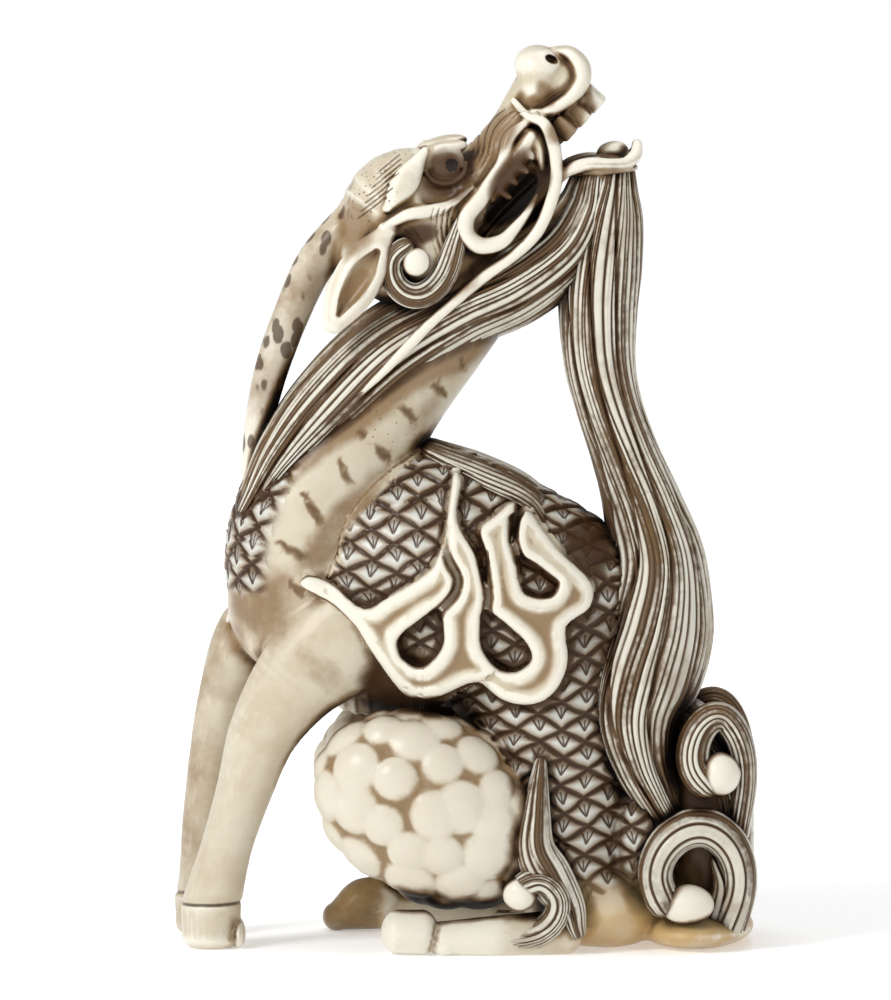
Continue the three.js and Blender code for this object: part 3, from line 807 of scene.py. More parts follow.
def hand_cut(p):
    """The slight unevenness of a surface scraped by hand."""
    x, y, z = p.T
    broad = np.sin(2.1 * x + 1.3 * np.sin(1.1 * z)) * np.sin(1.9 * z + 0.7 * np.sin(1.7 * y))
    return 0.014 * broad + 0.008 * np.sin(3.7 * y + 2.9 * x) * np.sin(4.1 * z - 1.3 * y)


def body_relief(p):
    across, down, amount = scale_lattice(p)
    off = trunk.distance(p)
    plate = ease(0.9, 0.6, off) * ease(-0.15, 0.15, inside_saddle(p)) * ease(38, 42, p[:, 2])
    return amount * scale_profile(across, down) + SADDLE_RISE * plate - 0.14 * hoof_line(p) + hand_cut(p)


# ---------------------------------------------------------------- hair, strand by strand

HAIR_REACH = ([-32, -16.9, 0.03], [33.4, 16.7, 99])


class Shells:
    """Closed surfaces gathered into one piece, with the height and tone of each strand."""

    def __init__(self):
        self.points, self.faces, self.hair, self.count = [], [], [], 0

    def add(self, points, ridge, tone, amount):
        """Points in rows and columns, the columns meeting round; the first and last rows are single spots."""
        rows, columns = points.shape[:2]
        index = self.count + np.arange(rows * columns).reshape(rows, columns)
        beside = np.roll(index, -1, axis=1)
        quads = np.stack([index[:-1], index[1:], beside[1:], beside[:-1]], axis=-1).reshape(-1, 4)
        self.points.append(points.reshape(-1, 3))
        self.faces.append(quads)
        self.hair.append(np.stack([ridge, tone, np.full(ridge.shape, amount)], axis=-1).reshape(-1, 3))
        self.count += rows * columns

    def mesh(self, name):
        points = np.clip(np.vstack(self.points), *HAIR_REACH)
        return make_mesh(name, points, np.vstack(self.faces)), np.vstack(self.hair)


LIGHT_SHARE, DOUBLE_SHARE, DOUBLE_WIDTH = 0.45, 0.3, 1.7


def strand_layout(strands, detail, seed):
    """Round a section: each column's angle, its place across its strand, and the strand's tone and share."""
    draw = np.random.default_rng(seed)
    light = draw.random(strands) < LIGHT_SHARE
    wide = np.where(light, draw.uniform(1.1, 1.6, strands), draw.uniform(0.55, 1.0, strands))
    wide *= np.where(light & (draw.random(strands) < DOUBLE_SHARE), DOUBLE_WIDTH, 1.0)
    edges = np.concatenate([[0], np.cumsum(wide)]) / wide.sum() * 2 * math.pi
    part = np.arange(detail) / detail
    angle = (edges[:-1, None] + part * np.diff(edges)[:, None]).ravel()
    tone = np.where(light, draw.uniform(0.75, 1.0, strands), draw.uniform(0.1, 0.5, strands))
    share = np.diff(edges) * strands / (2 * math.pi)
    return angle, np.tile(part, strands), np.repeat(tone, detail), np.repeat(share, detail), draw


def softened(line, reach):
    """A line with its bends rounded: each sample is the mean of those within reach."""
    padded = np.pad(line, ((reach, reach), (0, 0)), mode="reflect", reflect_type="odd")
    sums = np.cumsum(np.vstack([np.zeros(line.shape[1]), padded]), axis=0)
    return (sums[2 * reach + 1 :] - sums[: -2 * reach - 1]) / (2 * reach + 1)


CAP_ROWS = 6
PATH_SAMPLES = 24
STRAND_ROUND = 2.4


def hair_rows(stations, rows, soften):
    """Rows along a path and over its round ends: their places, swells, centres, directions and half-sizes."""
    fine = spline([full_station(s) for s in stations], PATH_SAMPLES)
    if soften:
        fine = softened(fine, soften)
    far = arc_lengths(fine[:, :3])
    rise = np.arange(CAP_ROWS) / CAP_ROWS
    bulge = np.sqrt(1 - rise**2)
    low, high = fine[0, 3:].min(), fine[-1, 3:].min()
    at = np.concatenate([np.zeros(CAP_ROWS), np.linspace(0, far[-1], rows), np.full(CAP_ROWS, far[-1])])
    swell = np.concatenate([rise, np.ones(rows), rise[::-1]])
    beyond = np.concatenate([-low * bulge, np.zeros(rows), high * bulge[::-1]])
    line = np.stack([np.interp(at, far, fine[:, k]) for k in range(5)], axis=1)
    tangent = np.stack([np.interp(at, far, g) for g in np.gradient(fine[:, :3], axis=0).T], axis=1)
    tangent /= np.linalg.norm(tangent, axis=1)[:, None]
    across = np.array([0, 1, 0]) - tangent * tangent[:, 1:2]
    across /= np.linalg.norm(across, axis=1)[:, None]
    centre = line[:, :3] + tangent * beyond[:, None]
    return at[:, None], swell[:, None], centre, np.cross(tangent, across), across, line[:, 3:4], line[:, 4:5]


def strand_ridge(part, pitch):
    """How high a strand stands at each place across it, doubled where it is wide."""
    single = 1 - np.abs(2 * part - 1) ** STRAND_ROUND
    double = 1 - np.abs(4 * np.abs(part - 0.5) - 1) ** STRAND_ROUND
    split = ease(0.95, 1.5, pitch)
    return single * (1 - split) + split * (0.25 + 0.75 * double) * np.minimum(1, single * 2)


def wandering(angle, s, wander, draw):
    """How far the strands swing round the tube, in radians, at each angle and place."""
    swing = 0
    for k in (1, 2, 3, 7, 11):
        swing = swing + wander / k * np.sin(k * angle + s * draw.uniform(0.05, 0.2) + draw.uniform(0, 6))
    return swing


def hair(
    shells, stations, strands, rows, detail, seed, locks, lock_depth=0.35, depth=0.34, wander=0.12, soften=0
):
    """A tube of hair: strands of several widths, doubled where the tube is wide, gathered in deeper locks."""
    s, swell, centre, in_plane, across, a, b = hair_rows(stations, rows, soften)
    angle, part, tone, share, draw = strand_layout(strands, detail, seed)
    turn = angle + wandering(angle, s, wander, draw)
    pitch = share * math.pi * (a + b) / strands
    ridge = strand_ridge(part, pitch)
    lock_wave = np.abs(np.sin(turn * locks / 2 + np.sin(s * 0.11 + seed) * 0.7 + draw.uniform(0, 3)))
    lock = 1 - (1 - lock_wave) ** 4
    groove = -depth * np.minimum(pitch, 1.2) * (1 - ridge)
    height = groove - lock_depth * (1 - lock) + 0.12 * (tone - 0.5) * ridge
    wave = np.sin(s * draw.uniform(0.12, 0.25) + np.repeat(draw.uniform(0, 6, strands), detail))
    wave = wave + 0.6 * np.sin(s * 0.41 + np.repeat(draw.uniform(0, 6, strands), detail))
    # The tone is darkened in the grooves between locks: painted shade.
    tone = np.clip(tone + 0.25 * wave, 0, 1) * (0.3 + 0.7 * lock)
    reach_a, reach_b = np.maximum(a + height, 0.1) * swell, np.maximum(b + height, 0.1) * swell
    offset_a = (reach_a * np.cos(turn))[:, :, None] * in_plane[:, None]
    offset_b = (reach_b * np.sin(turn))[:, :, None] * across[:, None]
    points = centre[:, None] + offset_a + offset_b
    shells.add(points, np.broadcast_to(ridge * swell, tone.shape), tone, 1.0)


def knob(shells, centre, radii, columns=28, rows=18):
    """A smooth egg."""
    up = np.linspace(0, math.pi, rows)[:, None]
    turn = np.linspace(0, 2 * math.pi, columns, endpoint=False)
    parts = np.broadcast_arrays(np.sin(up) * np.cos(turn), np.sin(up) * np.sin(turn), np.cos(up))
    ones = np.ones((rows, columns))
    shells.add(np.array(centre) + np.stack(parts, axis=-1) * np.array(radii), ones, ones, 0.0)


def curl(shells, stations, bulb, strands, seed):
    """A lock that winds in and ends in a smooth bulb: [x, y, z, and its half-sizes along each axis]."""
    shape = {"lock_depth": 0.15, "depth": 0.3, "wander": 0.05, "soften": 14}
    hair(shells, stations, strands, rows=84, detail=5, seed=seed, locks=3, **shape)
    knob(shells, bulb[:3], bulb[3:])


CHEEK_CURL = [
    [-0.4, 6.4, 80.6, 0.7, 1],
    [-1.5, 6.9, 76.8, 1.3, 1.3],
    [-2.7, 7.2, 73.5, 1.45, 1.4],
    [-5.4, 7.5, 71.6, 1.45, 1.4],
    [-8, 7.7, 73.1, 1.3, 1.3],
    [-8.3, 7.9, 75.9, 1.2, 1.2],
    [-6.9, 8, 77.2, 1.1, 1.1],
]
CHEEK_BULB = [-5.6, 8.2, 75.6, 1.6, 1.3, 1.6]
UPPER_CURL = [
    [29.4, 5.6, 12.6, 1.6, 3.4],
    [30.5, 6.8, 18.2, 1.4, 3.2],
    [30.0, 7.6, 23, 1.5, 3],
    [27.7, 8.2, 26, 1.7, 2.8],
    [25.2, 9, 24.2, 1.9, 2.6],
    [24.6, 9.6, 20.8, 2, 2.6],
    [25.9, 9.9, 18.8, 2, 2.6],
]
UPPER_BULB = [27.7, 10.2, 19.6, 2.3, 2.5, 2.4]
LOWER_CURL = [
    [28.6, 6.4, 2.9, 2.2, 3.6],
    [30.1, 7.3, 7.2, 1.9, 3.6],
    [29, 8.3, 11.7, 2.1, 3.5],
    [25.6, 9.1, 13.9, 2.2, 3.4],
    [21.9, 9.8, 12.2, 2.1, 3.2],
    [20.4, 10.3, 8.6, 1.9, 3],
    [21.4, 10.7, 5.8, 2, 2.8],
]
LOWER_BULB = [24.1, 11, 5.3, 3, 2.5, 2.2]
INNER_LOCK = [[27.2, 6.6, 3.4, 1.5, 2.6], [28, 7, 7, 1.2, 2.6], [27.2, 7, 9.8, 0.8, 2]]
HOCK_CURL = [
    [3.4, 11.8, 1.7, 1.5, 3],
    [7.2, 12.2, 1.9, 1.6, 3],
    [9.8, 12.6, 3.9, 1.6, 2.8],
    [10.1, 13, 6.6, 1.5, 2.6],
    [8.2, 13.4, 8.3, 1.5, 2.4],
    [6.6, 13.7, 7.9, 1.6, 2],
]
HOCK_BULB = [5.8, 14, 6.8, 1.9, 1.7, 1.9]
MANE = [
    [13.8, 0, 84.4, 2.4, 4.8],
    [13, 0, 80.8, 3.4, 5.2],
    [10.6, 0, 76.8, 4.4, 6],
    [5.2, 0, 72.8, 4.8, 7],
    [-1, 0, 69.8, 4.6, 7.6],
    [-8.5, 0, 65.4, 5, 8.2],
    [-15.1, 0, 59.3, 4.6, 8.6],
    [-20, 0, 53.8, 3.4, 7.6],
    [-23.7, 0, 48.3, 1.8, 5.6],
]
SPINE_MANE = [
    [-4.1, 0, 54.2, 1.5, 5],
    [1.4, 0, 51.5, 2.4, 8],
    [6.4, 0, 48.8, 2.4, 8.5],
    [8.6, 0, 45.5, 1.6, 8],
]
TAIL = [
    [15.6, 0, 83.8, 3.2, 4.7],
    [15.1, 0, 80.2, 4.3, 5.2],
    [14.6, 0, 74.7, 4.7, 5.6],
    [14.4, 0, 69.7, 4.4, 5.6],
    [14.6, 0, 64.2, 4, 5.2],
    [15.6, 0, 59.3, 3.7, 5],
    [17.4, 0, 53.8, 3.8, 5.4],
    [19.4, 0, 48, 4.5, 6.4],
    [20.6, 0, 42.2, 5.8, 8.2],
    [19.8, 0, 36.2, 7.6, 10.6],
    [18.6, 0, 30.7, 7.8, 12.6],
    [18, 0, 25.6, 6.3, 13.2],
    [19, 0, 20.8, 4.5, 12.8],
    [20.8, 0, 16.8, 3.4, 11.6],
    [23, 0, 12.8, 2.4, 9],
]
REAR_LOCK = [
    [22.6, 0, 25.6, 2.6, 5],
    [26.2, 0, 22.4, 2.9, 7],
    [28.2, 0, 17.6, 3, 8],
    [28.7, 0, 12, 3, 8.4],
    [28.4, 0, 6.6, 3, 8.6],
    [27.6, 0, 2.8, 2.4, 8.6],
]
TUFT = [
    [8.1, 11.9, 21, 0.7, 2.4],
    [7.6, 12.4, 16.3, 1.5, 2.9],
    [7.4, 12.6, 11.9, 2.2, 3],
    [9, 12.5, 8.6, 2.6, 2.8],
    [11, 12.2, 5.4, 2, 2.6],
    [11.9, 12, 2.8, 1.2, 2.4],
]

mane_shells, tail_shells, lock_shells = Shells(), Shells(), Shells()
hair(mane_shells, MANE, strands=40, rows=190, detail=6, seed=11, locks=8, lock_depth=0.55)
hair(mane_shells, SPINE_MANE, strands=26, rows=60, detail=6, seed=12, locks=5)
hair(tail_shells, TAIL, strands=44, rows=250, detail=8, seed=21, locks=9, lock_depth=0.75, wander=0.16)
hair(lock_shells, REAR_LOCK, strands=30, rows=80, detail=5, seed=61, locks=5, lock_depth=0.5, wander=0.2)
LOCKS = (
    (mane_shells, CHEEK_CURL, CHEEK_BULB, 14),
    (lock_shells, UPPER_CURL, UPPER_BULB, 16),
    (lock_shells, LOWER_CURL, LOWER_BULB, 18),
    (lock_shells, HOCK_CURL, HOCK_BULB, 16),
)
for side in SIDES:
    for k, (shells, stations, bulb, strands) in enumerate(LOCKS):
        placed_bulb = [bulb[0], bulb[1] * side, *bulb[2:]]
        curl(shells, mirrored(stations, side), placed_bulb, strands, 31 + 2 * k + (side > 0))
    hair(lock_shells, mirrored(INNER_LOCK, side), strands=12, rows=40, detail=5, seed=51 + side, locks=2)
    hair(lock_shells, mirrored(TUFT, side), strands=22, rows=70, detail=5, seed=41 + side, locks=3)

mane_sweep = Sweep(MANE)
hair_forms = [Form(mane_sweep, 0.3)] + [limb(path, 0.3) for path in (SPINE_MANE, TAIL, REAR_LOCK)]
for path in (CHEEK_CURL, UPPER_CURL, LOWER_CURL, INNER_LOCK, HOCK_CURL, TUFT):
    hair_forms += limbs(path)
air = Grid(body_forms + head_forms + hair_forms, 0.5, [-38, -20, -2], [38, 20, 104], reach=4.5)

# ---------------------------------------------------------------- from forms to pieces


# The material darkens recesses by this measure, through tan and brown to near black: partly the stain held in
# hollows, partly painted shade.
def cavity(p, n):
    """How closed in each point is, from 0 in the open to 1 in a deep recess."""
    total = np.zeros(len(p))
    for far, weight in ((0.9, 0.3), (1.8, 0.35), (3.6, 0.35)):
        total += weight * np.clip(1 - air.at(p + n * far) / far, 0, 1.4)
    return np.clip(total, 0, 1)


STEPS = (-1, 0, 1)
DIRECTIONS = np.array([[x, y, z] for x in STEPS for y in STEPS for z in STEPS if x or y or z], float)
DIRECTIONS /= np.linalg.norm(DIRECTIONS, axis=1)[:, None]


def exposure(grid, p, reach=0.7):
    """How far each point stands out of its surroundings, above 0 on a ridge and below 0 in a groove."""
    return (sum(grid.at(p + way * reach) for way in DIRECTIONS) / len(DIRECTIONS) - grid.at(p)) / reach


def stain_and_shade_patches(p, patches):
    """Tan and brown at each point, from patches [x, z, half-length, half-width, tilt, tan, brown]; some
    patches are stain and some painted shade.
    """
    tan, brown = np.zeros(len(p)), np.zeros(len(p))
    for x, z, long, wide, tilt, most_tan, most_brown in patches:
        along, across = turned(p, x, z, tilt)
        here = ease(1.0, 0.3, np.hypot(along / long, across / wide))
        tan, brown = np.maximum(tan, most_tan * here), np.maximum(brown, most_brown * here)
    return tan, brown


def put(mesh, name, kind, values):
    """Stores a number or a vector at every vertex."""
    data = mesh.attributes.new(name, kind, "POINT").data
    flat = np.ascontiguousarray(values, np.float32).ravel()
    data.foreach_set("value" if kind == "FLOAT" else "vector", flat)


def finished(name, mesh, material, vectors):
    """Carries a mesh from millimetres to the frame, with the vectors that its material reads."""
    p = vertices_of(mesh)
    put(mesh, "cavity", "FLOAT", cavity(p, normals_of(mesh)))
    for key, values in vectors.items():
        put(mesh, key, "FLOAT_VECTOR", values)
    placed = (p - [FOOTPRINT_MIDDLE, 0, 0]) * MM
    mesh.vertices.foreach_set("co", placed.astype(np.float32).ravel())
    mesh.update()
    mesh.name = name
    piece = bpy.data.objects.new(name, mesh)
    bpy.context.collection.objects.link(piece)
    mesh.materials.append(material)
    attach(piece, "root")
    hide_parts("kirin")


def carved(grid, relief, triangles):
    """The grid's skin with its relief, in about that many triangles and no lower than the floor."""
    mesh = make_mesh("skin", *grid.skin())
    p = vertices_of(mesh)
    p = p + normals_of(mesh) * relief(p)[:, None]
    p[:, 2] = np.maximum(p[:, 2], 0)
    mesh.vertices.foreach_set("co", p.astype(np.float32).ravel())
    mesh.update()
    return thinned(mesh, triangles)


# ---------------------------------------------------------------- stained ivory, with painted highlight and shade


def set_inputs(node, values):
    """Sets constants on a node's sockets."""
    for name, value in values.items():
        node.inputs[name].default_value = value


class Value:
    """A number that material nodes make. Its sums and products are nodes too."""

    def __init__(self, nodes, socket):
        self.nodes, self.socket = nodes, socket

    def __add__(self, other):
        return self.nodes.math("ADD", self, other)

    def __sub__(self, other):
        return self.nodes.math("SUBTRACT", self, other)

    def __rsub__(self, other):
        return self.nodes.math("SUBTRACT", other, self)

    def __mul__(self, other):
        return self.nodes.math("MULTIPLY", self, other)

    def __truediv__(self, other):
        return self.nodes.math("DIVIDE", self, other)

    def __abs__(self):
        return self.nodes.math("ABSOLUTE", self)

    def ease(self, low, high):
        """0 at low, 1 at high, and smooth between; low may be the greater."""
        made = self.nodes.node("ShaderNodeMapRange", interpolation_type="SMOOTHSTEP", clamp=True)
        self.nodes.join(self, made.inputs["Value"])
        set_inputs(made, {"From Min": low, "From Max": high})
        return Value(self.nodes, made.outputs["Result"])


class Nodes:
    """Short ways to make the nodes of one material."""

    def __init__(self, name):
        self.material = bpy.data.materials.new(name)
        self.material.use_nodes = True
        self.tree = self.material.node_tree
        self.shader = self.tree.nodes["Principled BSDF"]
        self.place = self.node("ShaderNodeTexCoord").outputs["Object"]

    def node(self, kind, **settings):
        made = self.tree.nodes.new(kind)
        for key, value in settings.items():
            setattr(made, key, value)
        return made

    def join(self, value, socket):
        if isinstance(value, Value):
            value = value.socket
        if isinstance(value, bpy.types.NodeSocket):
            self.tree.links.new(value, socket)
        else:
            socket.default_value = value

    def attribute(self, name):
        """The three numbers of a vector that each vertex carries."""
        split = self.node("ShaderNodeSeparateXYZ")
        self.join(self.node("ShaderNodeAttribute", attribute_name=name).outputs["Vector"], split.inputs[0])
        return [Value(self, socket) for socket in split.outputs]

    def math(self, operation, *values):
        made = self.node("ShaderNodeMath", operation=operation)
        for value, socket in zip(values, made.inputs):
            self.join(value, socket)
        return Value(self, made.outputs[0])

    def noise(self, scale, detail=3.0, rough=0.55):
        made = self.node("ShaderNodeTexNoise")
        self.join(self.place, made.inputs["Vector"])
        set_inputs(made, {"Scale": scale, "Detail": detail, "Roughness": rough})
        return Value(self, made.outputs["Fac"])

    def dots(self, scale, low, high, flat=1, uneven=0.0):
        """Spots scattered in space, longer along Z where flat is less than 1."""
        squashed = self.node("ShaderNodeVectorMath", operation="MULTIPLY")
        self.join(self.place, squashed.inputs[0])
        squashed.inputs[1].default_value = (1, 1, flat)
        made = self.node("ShaderNodeTexVoronoi")
        self.join(squashed.outputs[0], made.inputs["Vector"])
        set_inputs(made, {"Scale": scale})
        return (Value(self, made.outputs["Distance"]) + uneven).ease(low, high)

    def mix(self, share, a, b):
        made = self.node("ShaderNodeMix", data_type="RGBA")
        sockets = {socket.identifier: socket for socket in (*made.inputs, *made.outputs)}
        self.join(share, sockets["Factor_Float"])
        self.join(a, sockets["A_Color"])
        self.join(b, sockets["B_Color"])
        return sockets["Result_Color"]


CREAM = (0.53, 0.45, 0.325, 1)
PALE = (0.61, 0.555, 0.435, 1)
BRIGHT = (0.8, 0.765, 0.665, 1)
WHITE = (0.60, 0.60, 0.545, 1)
TAN = (0.23, 0.135, 0.055, 1)
AMBER = (0.55, 0.37, 0.16, 1)
BROWN = (0.05, 0.021, 0.0065, 1)
GREY_BROWN = (0.105, 0.064, 0.033, 1)
HAIR_PALE = (0.67, 0.64, 0.55, 1)
HAIR_BROWN = (0.115, 0.067, 0.031, 1)
DARK = (0.006, 0.003, 0.0015, 1)


def ivory_wear_stain_and_painted_light(m):
    """Cream, pale on ridges from rubbing and as painted highlight, and darkened in recesses and patches by
    stain and by painted shade, near black in the deepest hollows.
    """
    colour = m.mix(m.cloud.ease(0.38, 0.66), CREAM, PALE)
    # Raised places painted bright: rubbed wear and painted highlight.
    colour = m.mix(m.convex.ease(0.02, 0.16) * 0.9, colour, BRIGHT)
    patches = (m.tan + m.blotch).ease(0.2, 0.8) * m.tan.ease(0.0, 0.25)
    colour = m.mix(patches * 0.85, colour, TAN)
    # Recesses and grooves go tan, brown and near black: stain and painted shade.
    colour = m.mix(m.closed.ease(0.12, 0.42) * 0.8, colour, TAN)
    colour = m.mix(m.closed.ease(0.3, 0.68) * 0.92, colour, BROWN)
    sunk = m.convex + m.shaky * 0.25
    colour = m.mix(sunk.ease(-0.03, -0.13) * 0.75, colour, TAN)
    colour = m.mix(sunk.ease(-0.10, -0.26) * 0.85, colour, BROWN)
    return m.mix(m.closed.ease(0.62, 0.95), colour, DARK)


def scale_faces(m):
    """Brown lattice lines, a bluish-white face with painted shade over its sunken upper half and in recesses,
    and a nick of three strokes; and the nick on its own.
    """
    a = m.across / SCALE_WIDE + m.down / SCALE_TALL
    b = m.across / SCALE_WIDE - m.down / SCALE_TALL
    fa, fb = m.math("FRACT", a), m.math("FRACT", b)
    edge = m.math("MINIMUM", m.math("PINGPONG", a, 0.5), m.math("PINGPONG", b, 0.5))
    cu, cv = (fa + fb - 1.0) * (SCALE_WIDE / 2), (fa - fb) * (SCALE_TALL / 2)
    arm = abs(cu) - (NICK_LOW - cv) * NICK_SLOPE
    stroke = m.math("MINIMUM", abs(arm), abs(cu) + 0.05)
    upper = cv.ease(NICK_TOP, NICK_TOP + 0.2) * cv.ease(NICK_LOW + 0.1, NICK_LOW - 0.05)
    nick = stroke.ease(0.2, 0.07) * upper
    groove = (edge + m.shaky * 0.16).ease(0.15, 0.06)
    # Tan towards the lattice lines: stain and painted shade.
    edge_stain_and_shade = (edge + m.blotch * 0.2).ease(0.36, 0.06)
    face = m.mix(edge_stain_and_shade * 0.85, WHITE, TAN)
    # Grey-brown over the upper half of each scale, where it sinks: painted shade.
    face = m.mix((cv + m.shaky).ease(0.1, -0.9) * 0.6, face, GREY_BROWN)
    face = m.mix((m.closed + m.brown * 0.6).ease(0.2, 0.6), face, GREY_BROWN)
    face = m.mix(m.math("MAXIMUM", groove, nick) * 0.92, face, BROWN)
    face = m.mix(edge.ease(0.04, 0.0) * 0.6, face, DARK)
    return m.mix(m.closed.ease(0.6, 0.95), face, DARK), nick


def strands_of_hair(m):
    """Pale crests, brown flanks and thin dark grooves, with painted shade in recesses, brown to near black.
    """
    # The strand's own tone, darkened in recesses as painted shade.
    tone_and_painted_shade = m.tone - m.cavity * 0.8 + (m.streaky - 0.5) * 0.9 + m.blotch * 0.25
    crest = m.mix(tone_and_painted_shade.ease(0.1, 0.75), HAIR_BROWN, HAIR_PALE)
    crest = m.mix(m.patchy.ease(0.45, 0.7) * 0.45, crest, TAN)
    flank = m.mix((m.ridge + m.shaky * 0.5).ease(0.4, 0.85), HAIR_BROWN, crest)
    strand = m.mix(m.ridge.ease(0.32, 0.08) * 0.9, flank, BROWN)
    strand = m.mix(m.closed.ease(0.4, 0.8) * 0.7, strand, BROWN)
    return m.mix(m.closed.ease(0.65, 1.0), strand, DARK)


GLOSS = {
    "Subsurface Weight": 0.1,
    "Subsurface Radius": (1.2 * MM, 0.8 * MM, 0.4 * MM),
    "Subsurface Scale": 1.0,
    "IOR": 1.54,
    "Specular IOR Level": 0.18,
    "Coat Weight": 0.1,
    "Coat Roughness": 0.12,
}


def polish(m, relief, rough):
    """The soft gloss of handled ivory."""
    bump = m.node("ShaderNodeBump")
    set_inputs(bump, {"Strength": 0.35, "Distance": 0.06 * MM})
    m.join(relief, bump.inputs["Height"])
    m.join(bump.outputs["Normal"], m.shader.inputs["Normal"])
    m.join(rough, m.shader.inputs["Roughness"])
    set_inputs(m.shader, GLOSS)


def ivory():
    """Cream ivory, brown in its recesses from stain and painted shade, nearly black in its grooves and
    deepest hollows, partly as painted shade, and amber at the rear of its base.
    """
    m = Nodes("stained_ivory_and_painted_light")
    m.cavity = Value(m, m.node("ShaderNodeAttribute", attribute_name="cavity").outputs["Fac"])
    m.ridge, m.tone, is_hair = m.attribute("hair")
    m.across, m.down, scaled = m.attribute("lattice")
    m.convex, m.tan, m.brown = m.attribute("form")
    warm, pits, spots = m.attribute("marks")
    broad, medium, fine = m.noise(60), m.noise(420), m.noise(2600, 2)
    m.patchy, m.streaky = m.noise(170, 4, 0.6), m.noise(1000, 3)
    m.cloud = broad * 0.6 + medium * 0.4
    m.shaky = (medium - 0.5) * 0.5
    m.blotch = (m.patchy - 0.5) * 1.1
    m.closed = m.cavity + m.shaky

    face, nick = scale_faces(m)
    colour = m.mix(scaled, ivory_wear_stain_and_painted_light(m), face)
    colour = m.mix(is_hair, colour, strands_of_hair(m))
    colour = m.mix(warm * m.cloud.ease(0.36, 0.62), colour, AMBER)
    stain_and_painted_shade = (m.brown + m.blotch * 0.5).ease(0.2, 0.85) * m.brown.ease(0, 0.2)
    # Brown from stain, and painted shade where the patches, the mouth's slot and the far hind hoof carry it.
    colour = m.mix(stain_and_painted_shade * 0.92, colour, BROWN)
    dots = m.dots(1600, 0.24, 0.12) * pits
    ovals = m.dots(640, 0.46, 0.34, flat=0.6, uneven=m.shaky * 0.7) * spots
    colour = m.mix(m.math("MAXIMUM", dots, ovals * 0.8), colour, BROWN)
    # Near black in the pupils, and in the mouth's slot as painted shade.
    colour = m.mix(m.brown.ease(0.95, 1.25), colour, DARK)
    m.join(colour, m.shader.inputs["Base Color"])

    relief = medium * 0.5 + fine * 0.4 - nick * scaled * 1.5 - m.math("MAXIMUM", dots, ovals)
    polish(m, relief, m.closed.ease(0.1, 0.7) * 0.3 + 0.25 + medium * 0.1)
    return m.material


# Some patches are stain; those under the flames' lower edge, between the flank and the tail, among the rear
# curls and under the belly are painted shade.
BODY_STAIN_AND_SHADE = [
    [-14, 46.4, 12, 3.6, 52, 0.68, 0.3],
    [-22.6, 38.4, 7, 8, 0, 0.7, 0.3],
    [-15, 30, 3, 9, 40, 0.45, 0.15],
    [-25.5, 33.5, 2.6, 4, 0, 0.7, 0.3],
    [-7.6, 29.4, 6.5, 5, 0, 0.85, 0.95],
    [13, 44, 5, 6, 0, 0.6, 0.8],
    [14, 34, 4, 8, 0, 0.6, 0.45],
    [27, 13, 7, 14, 0, 0.85, 0.85],
    [-13, 4, 6, 4.5, 0, 0.85, 0.3],
    [-4.5, 59, 5, 2, 50, 0.5, 0],
    [3, 67, 6, 2.4, 42, 0.8, 0.2],
]
# Some patches are stain; those round the eye, in the mouth and under the nose are painted shade.
HEAD_STAIN_AND_SHADE = [
    [2.6, 88.6, 7, 2.6, 52, 0.9, 0.3],
    [-2.0, 85.2, 4.7, 4.6, 0, 0.95, 0.85],
    [-5, 78.6, 3.4, 1.9, 10, 0.8, 0.75],
    [-12.4, 79, 3.5, 5, 0, 0.75, 0.15],
    [-2, 74, 4.5, 4.5, 0, 0.8, 0.4],
    [10.8, 90.4, 4.2, 2.6, 47, 0.95, 0.35],
    [4.8, 84.8, 5.6, 2.6, 58, 0.95, 0.8],
    [7.6, 83.4, 4, 1.8, 58, 0.9, 0.7],
    [14.2, 83.6, 4, 1.4, 0, 0.8, 0.6],
    [-12, 73.2, 3.4, 1.9, 60, 0.85, 0.25],
    [8.6, 93.8, 1.6, 2.6, 30, 0.85, 0.35],
    [7.6, 93.2, 2.6, 1.2, 30, 0.85, 0.3],
]


def thigh_stain(p):
    """How low in the valleys of a thigh each point lies, and whether it is on a thigh at all."""
    low, here = np.zeros(len(p)), np.zeros(len(p))
    for thigh in thighs.values():
        close = np.abs(Egg.distance(thigh, p)) < 1.8
        low[close] = ease(0.64, 0.26, thigh.dome(p[close]))
        here[close] = 1
    return low, here


def flame_stain(p, off_trunk, tan, brown):
    """Where the flames are, and the stain with their tan recess, brown clefts and brown foot line."""
    inside, from_cleft = read_flames(p)
    off_middle = np.abs(p[:, 1]) > 5
    flame = ease(1.0, 1.6, off_trunk) * (inside > -0.3) * off_middle > 0.5
    foot = ease(0.9, 0.3, np.abs(off_trunk - 0.3)) * ease(1.0, 0.1, np.abs(inside + 0.2)) * off_middle
    tan = np.where(flame, 0.85 * ease(0.9, 2.1, np.minimum(inside, from_cleft)), tan)
    brown = np.where(flame, 0.65 * ease(0.7, 0.25, from_cleft), brown)
    return flame, tan, np.maximum(brown, 0.7 * foot)


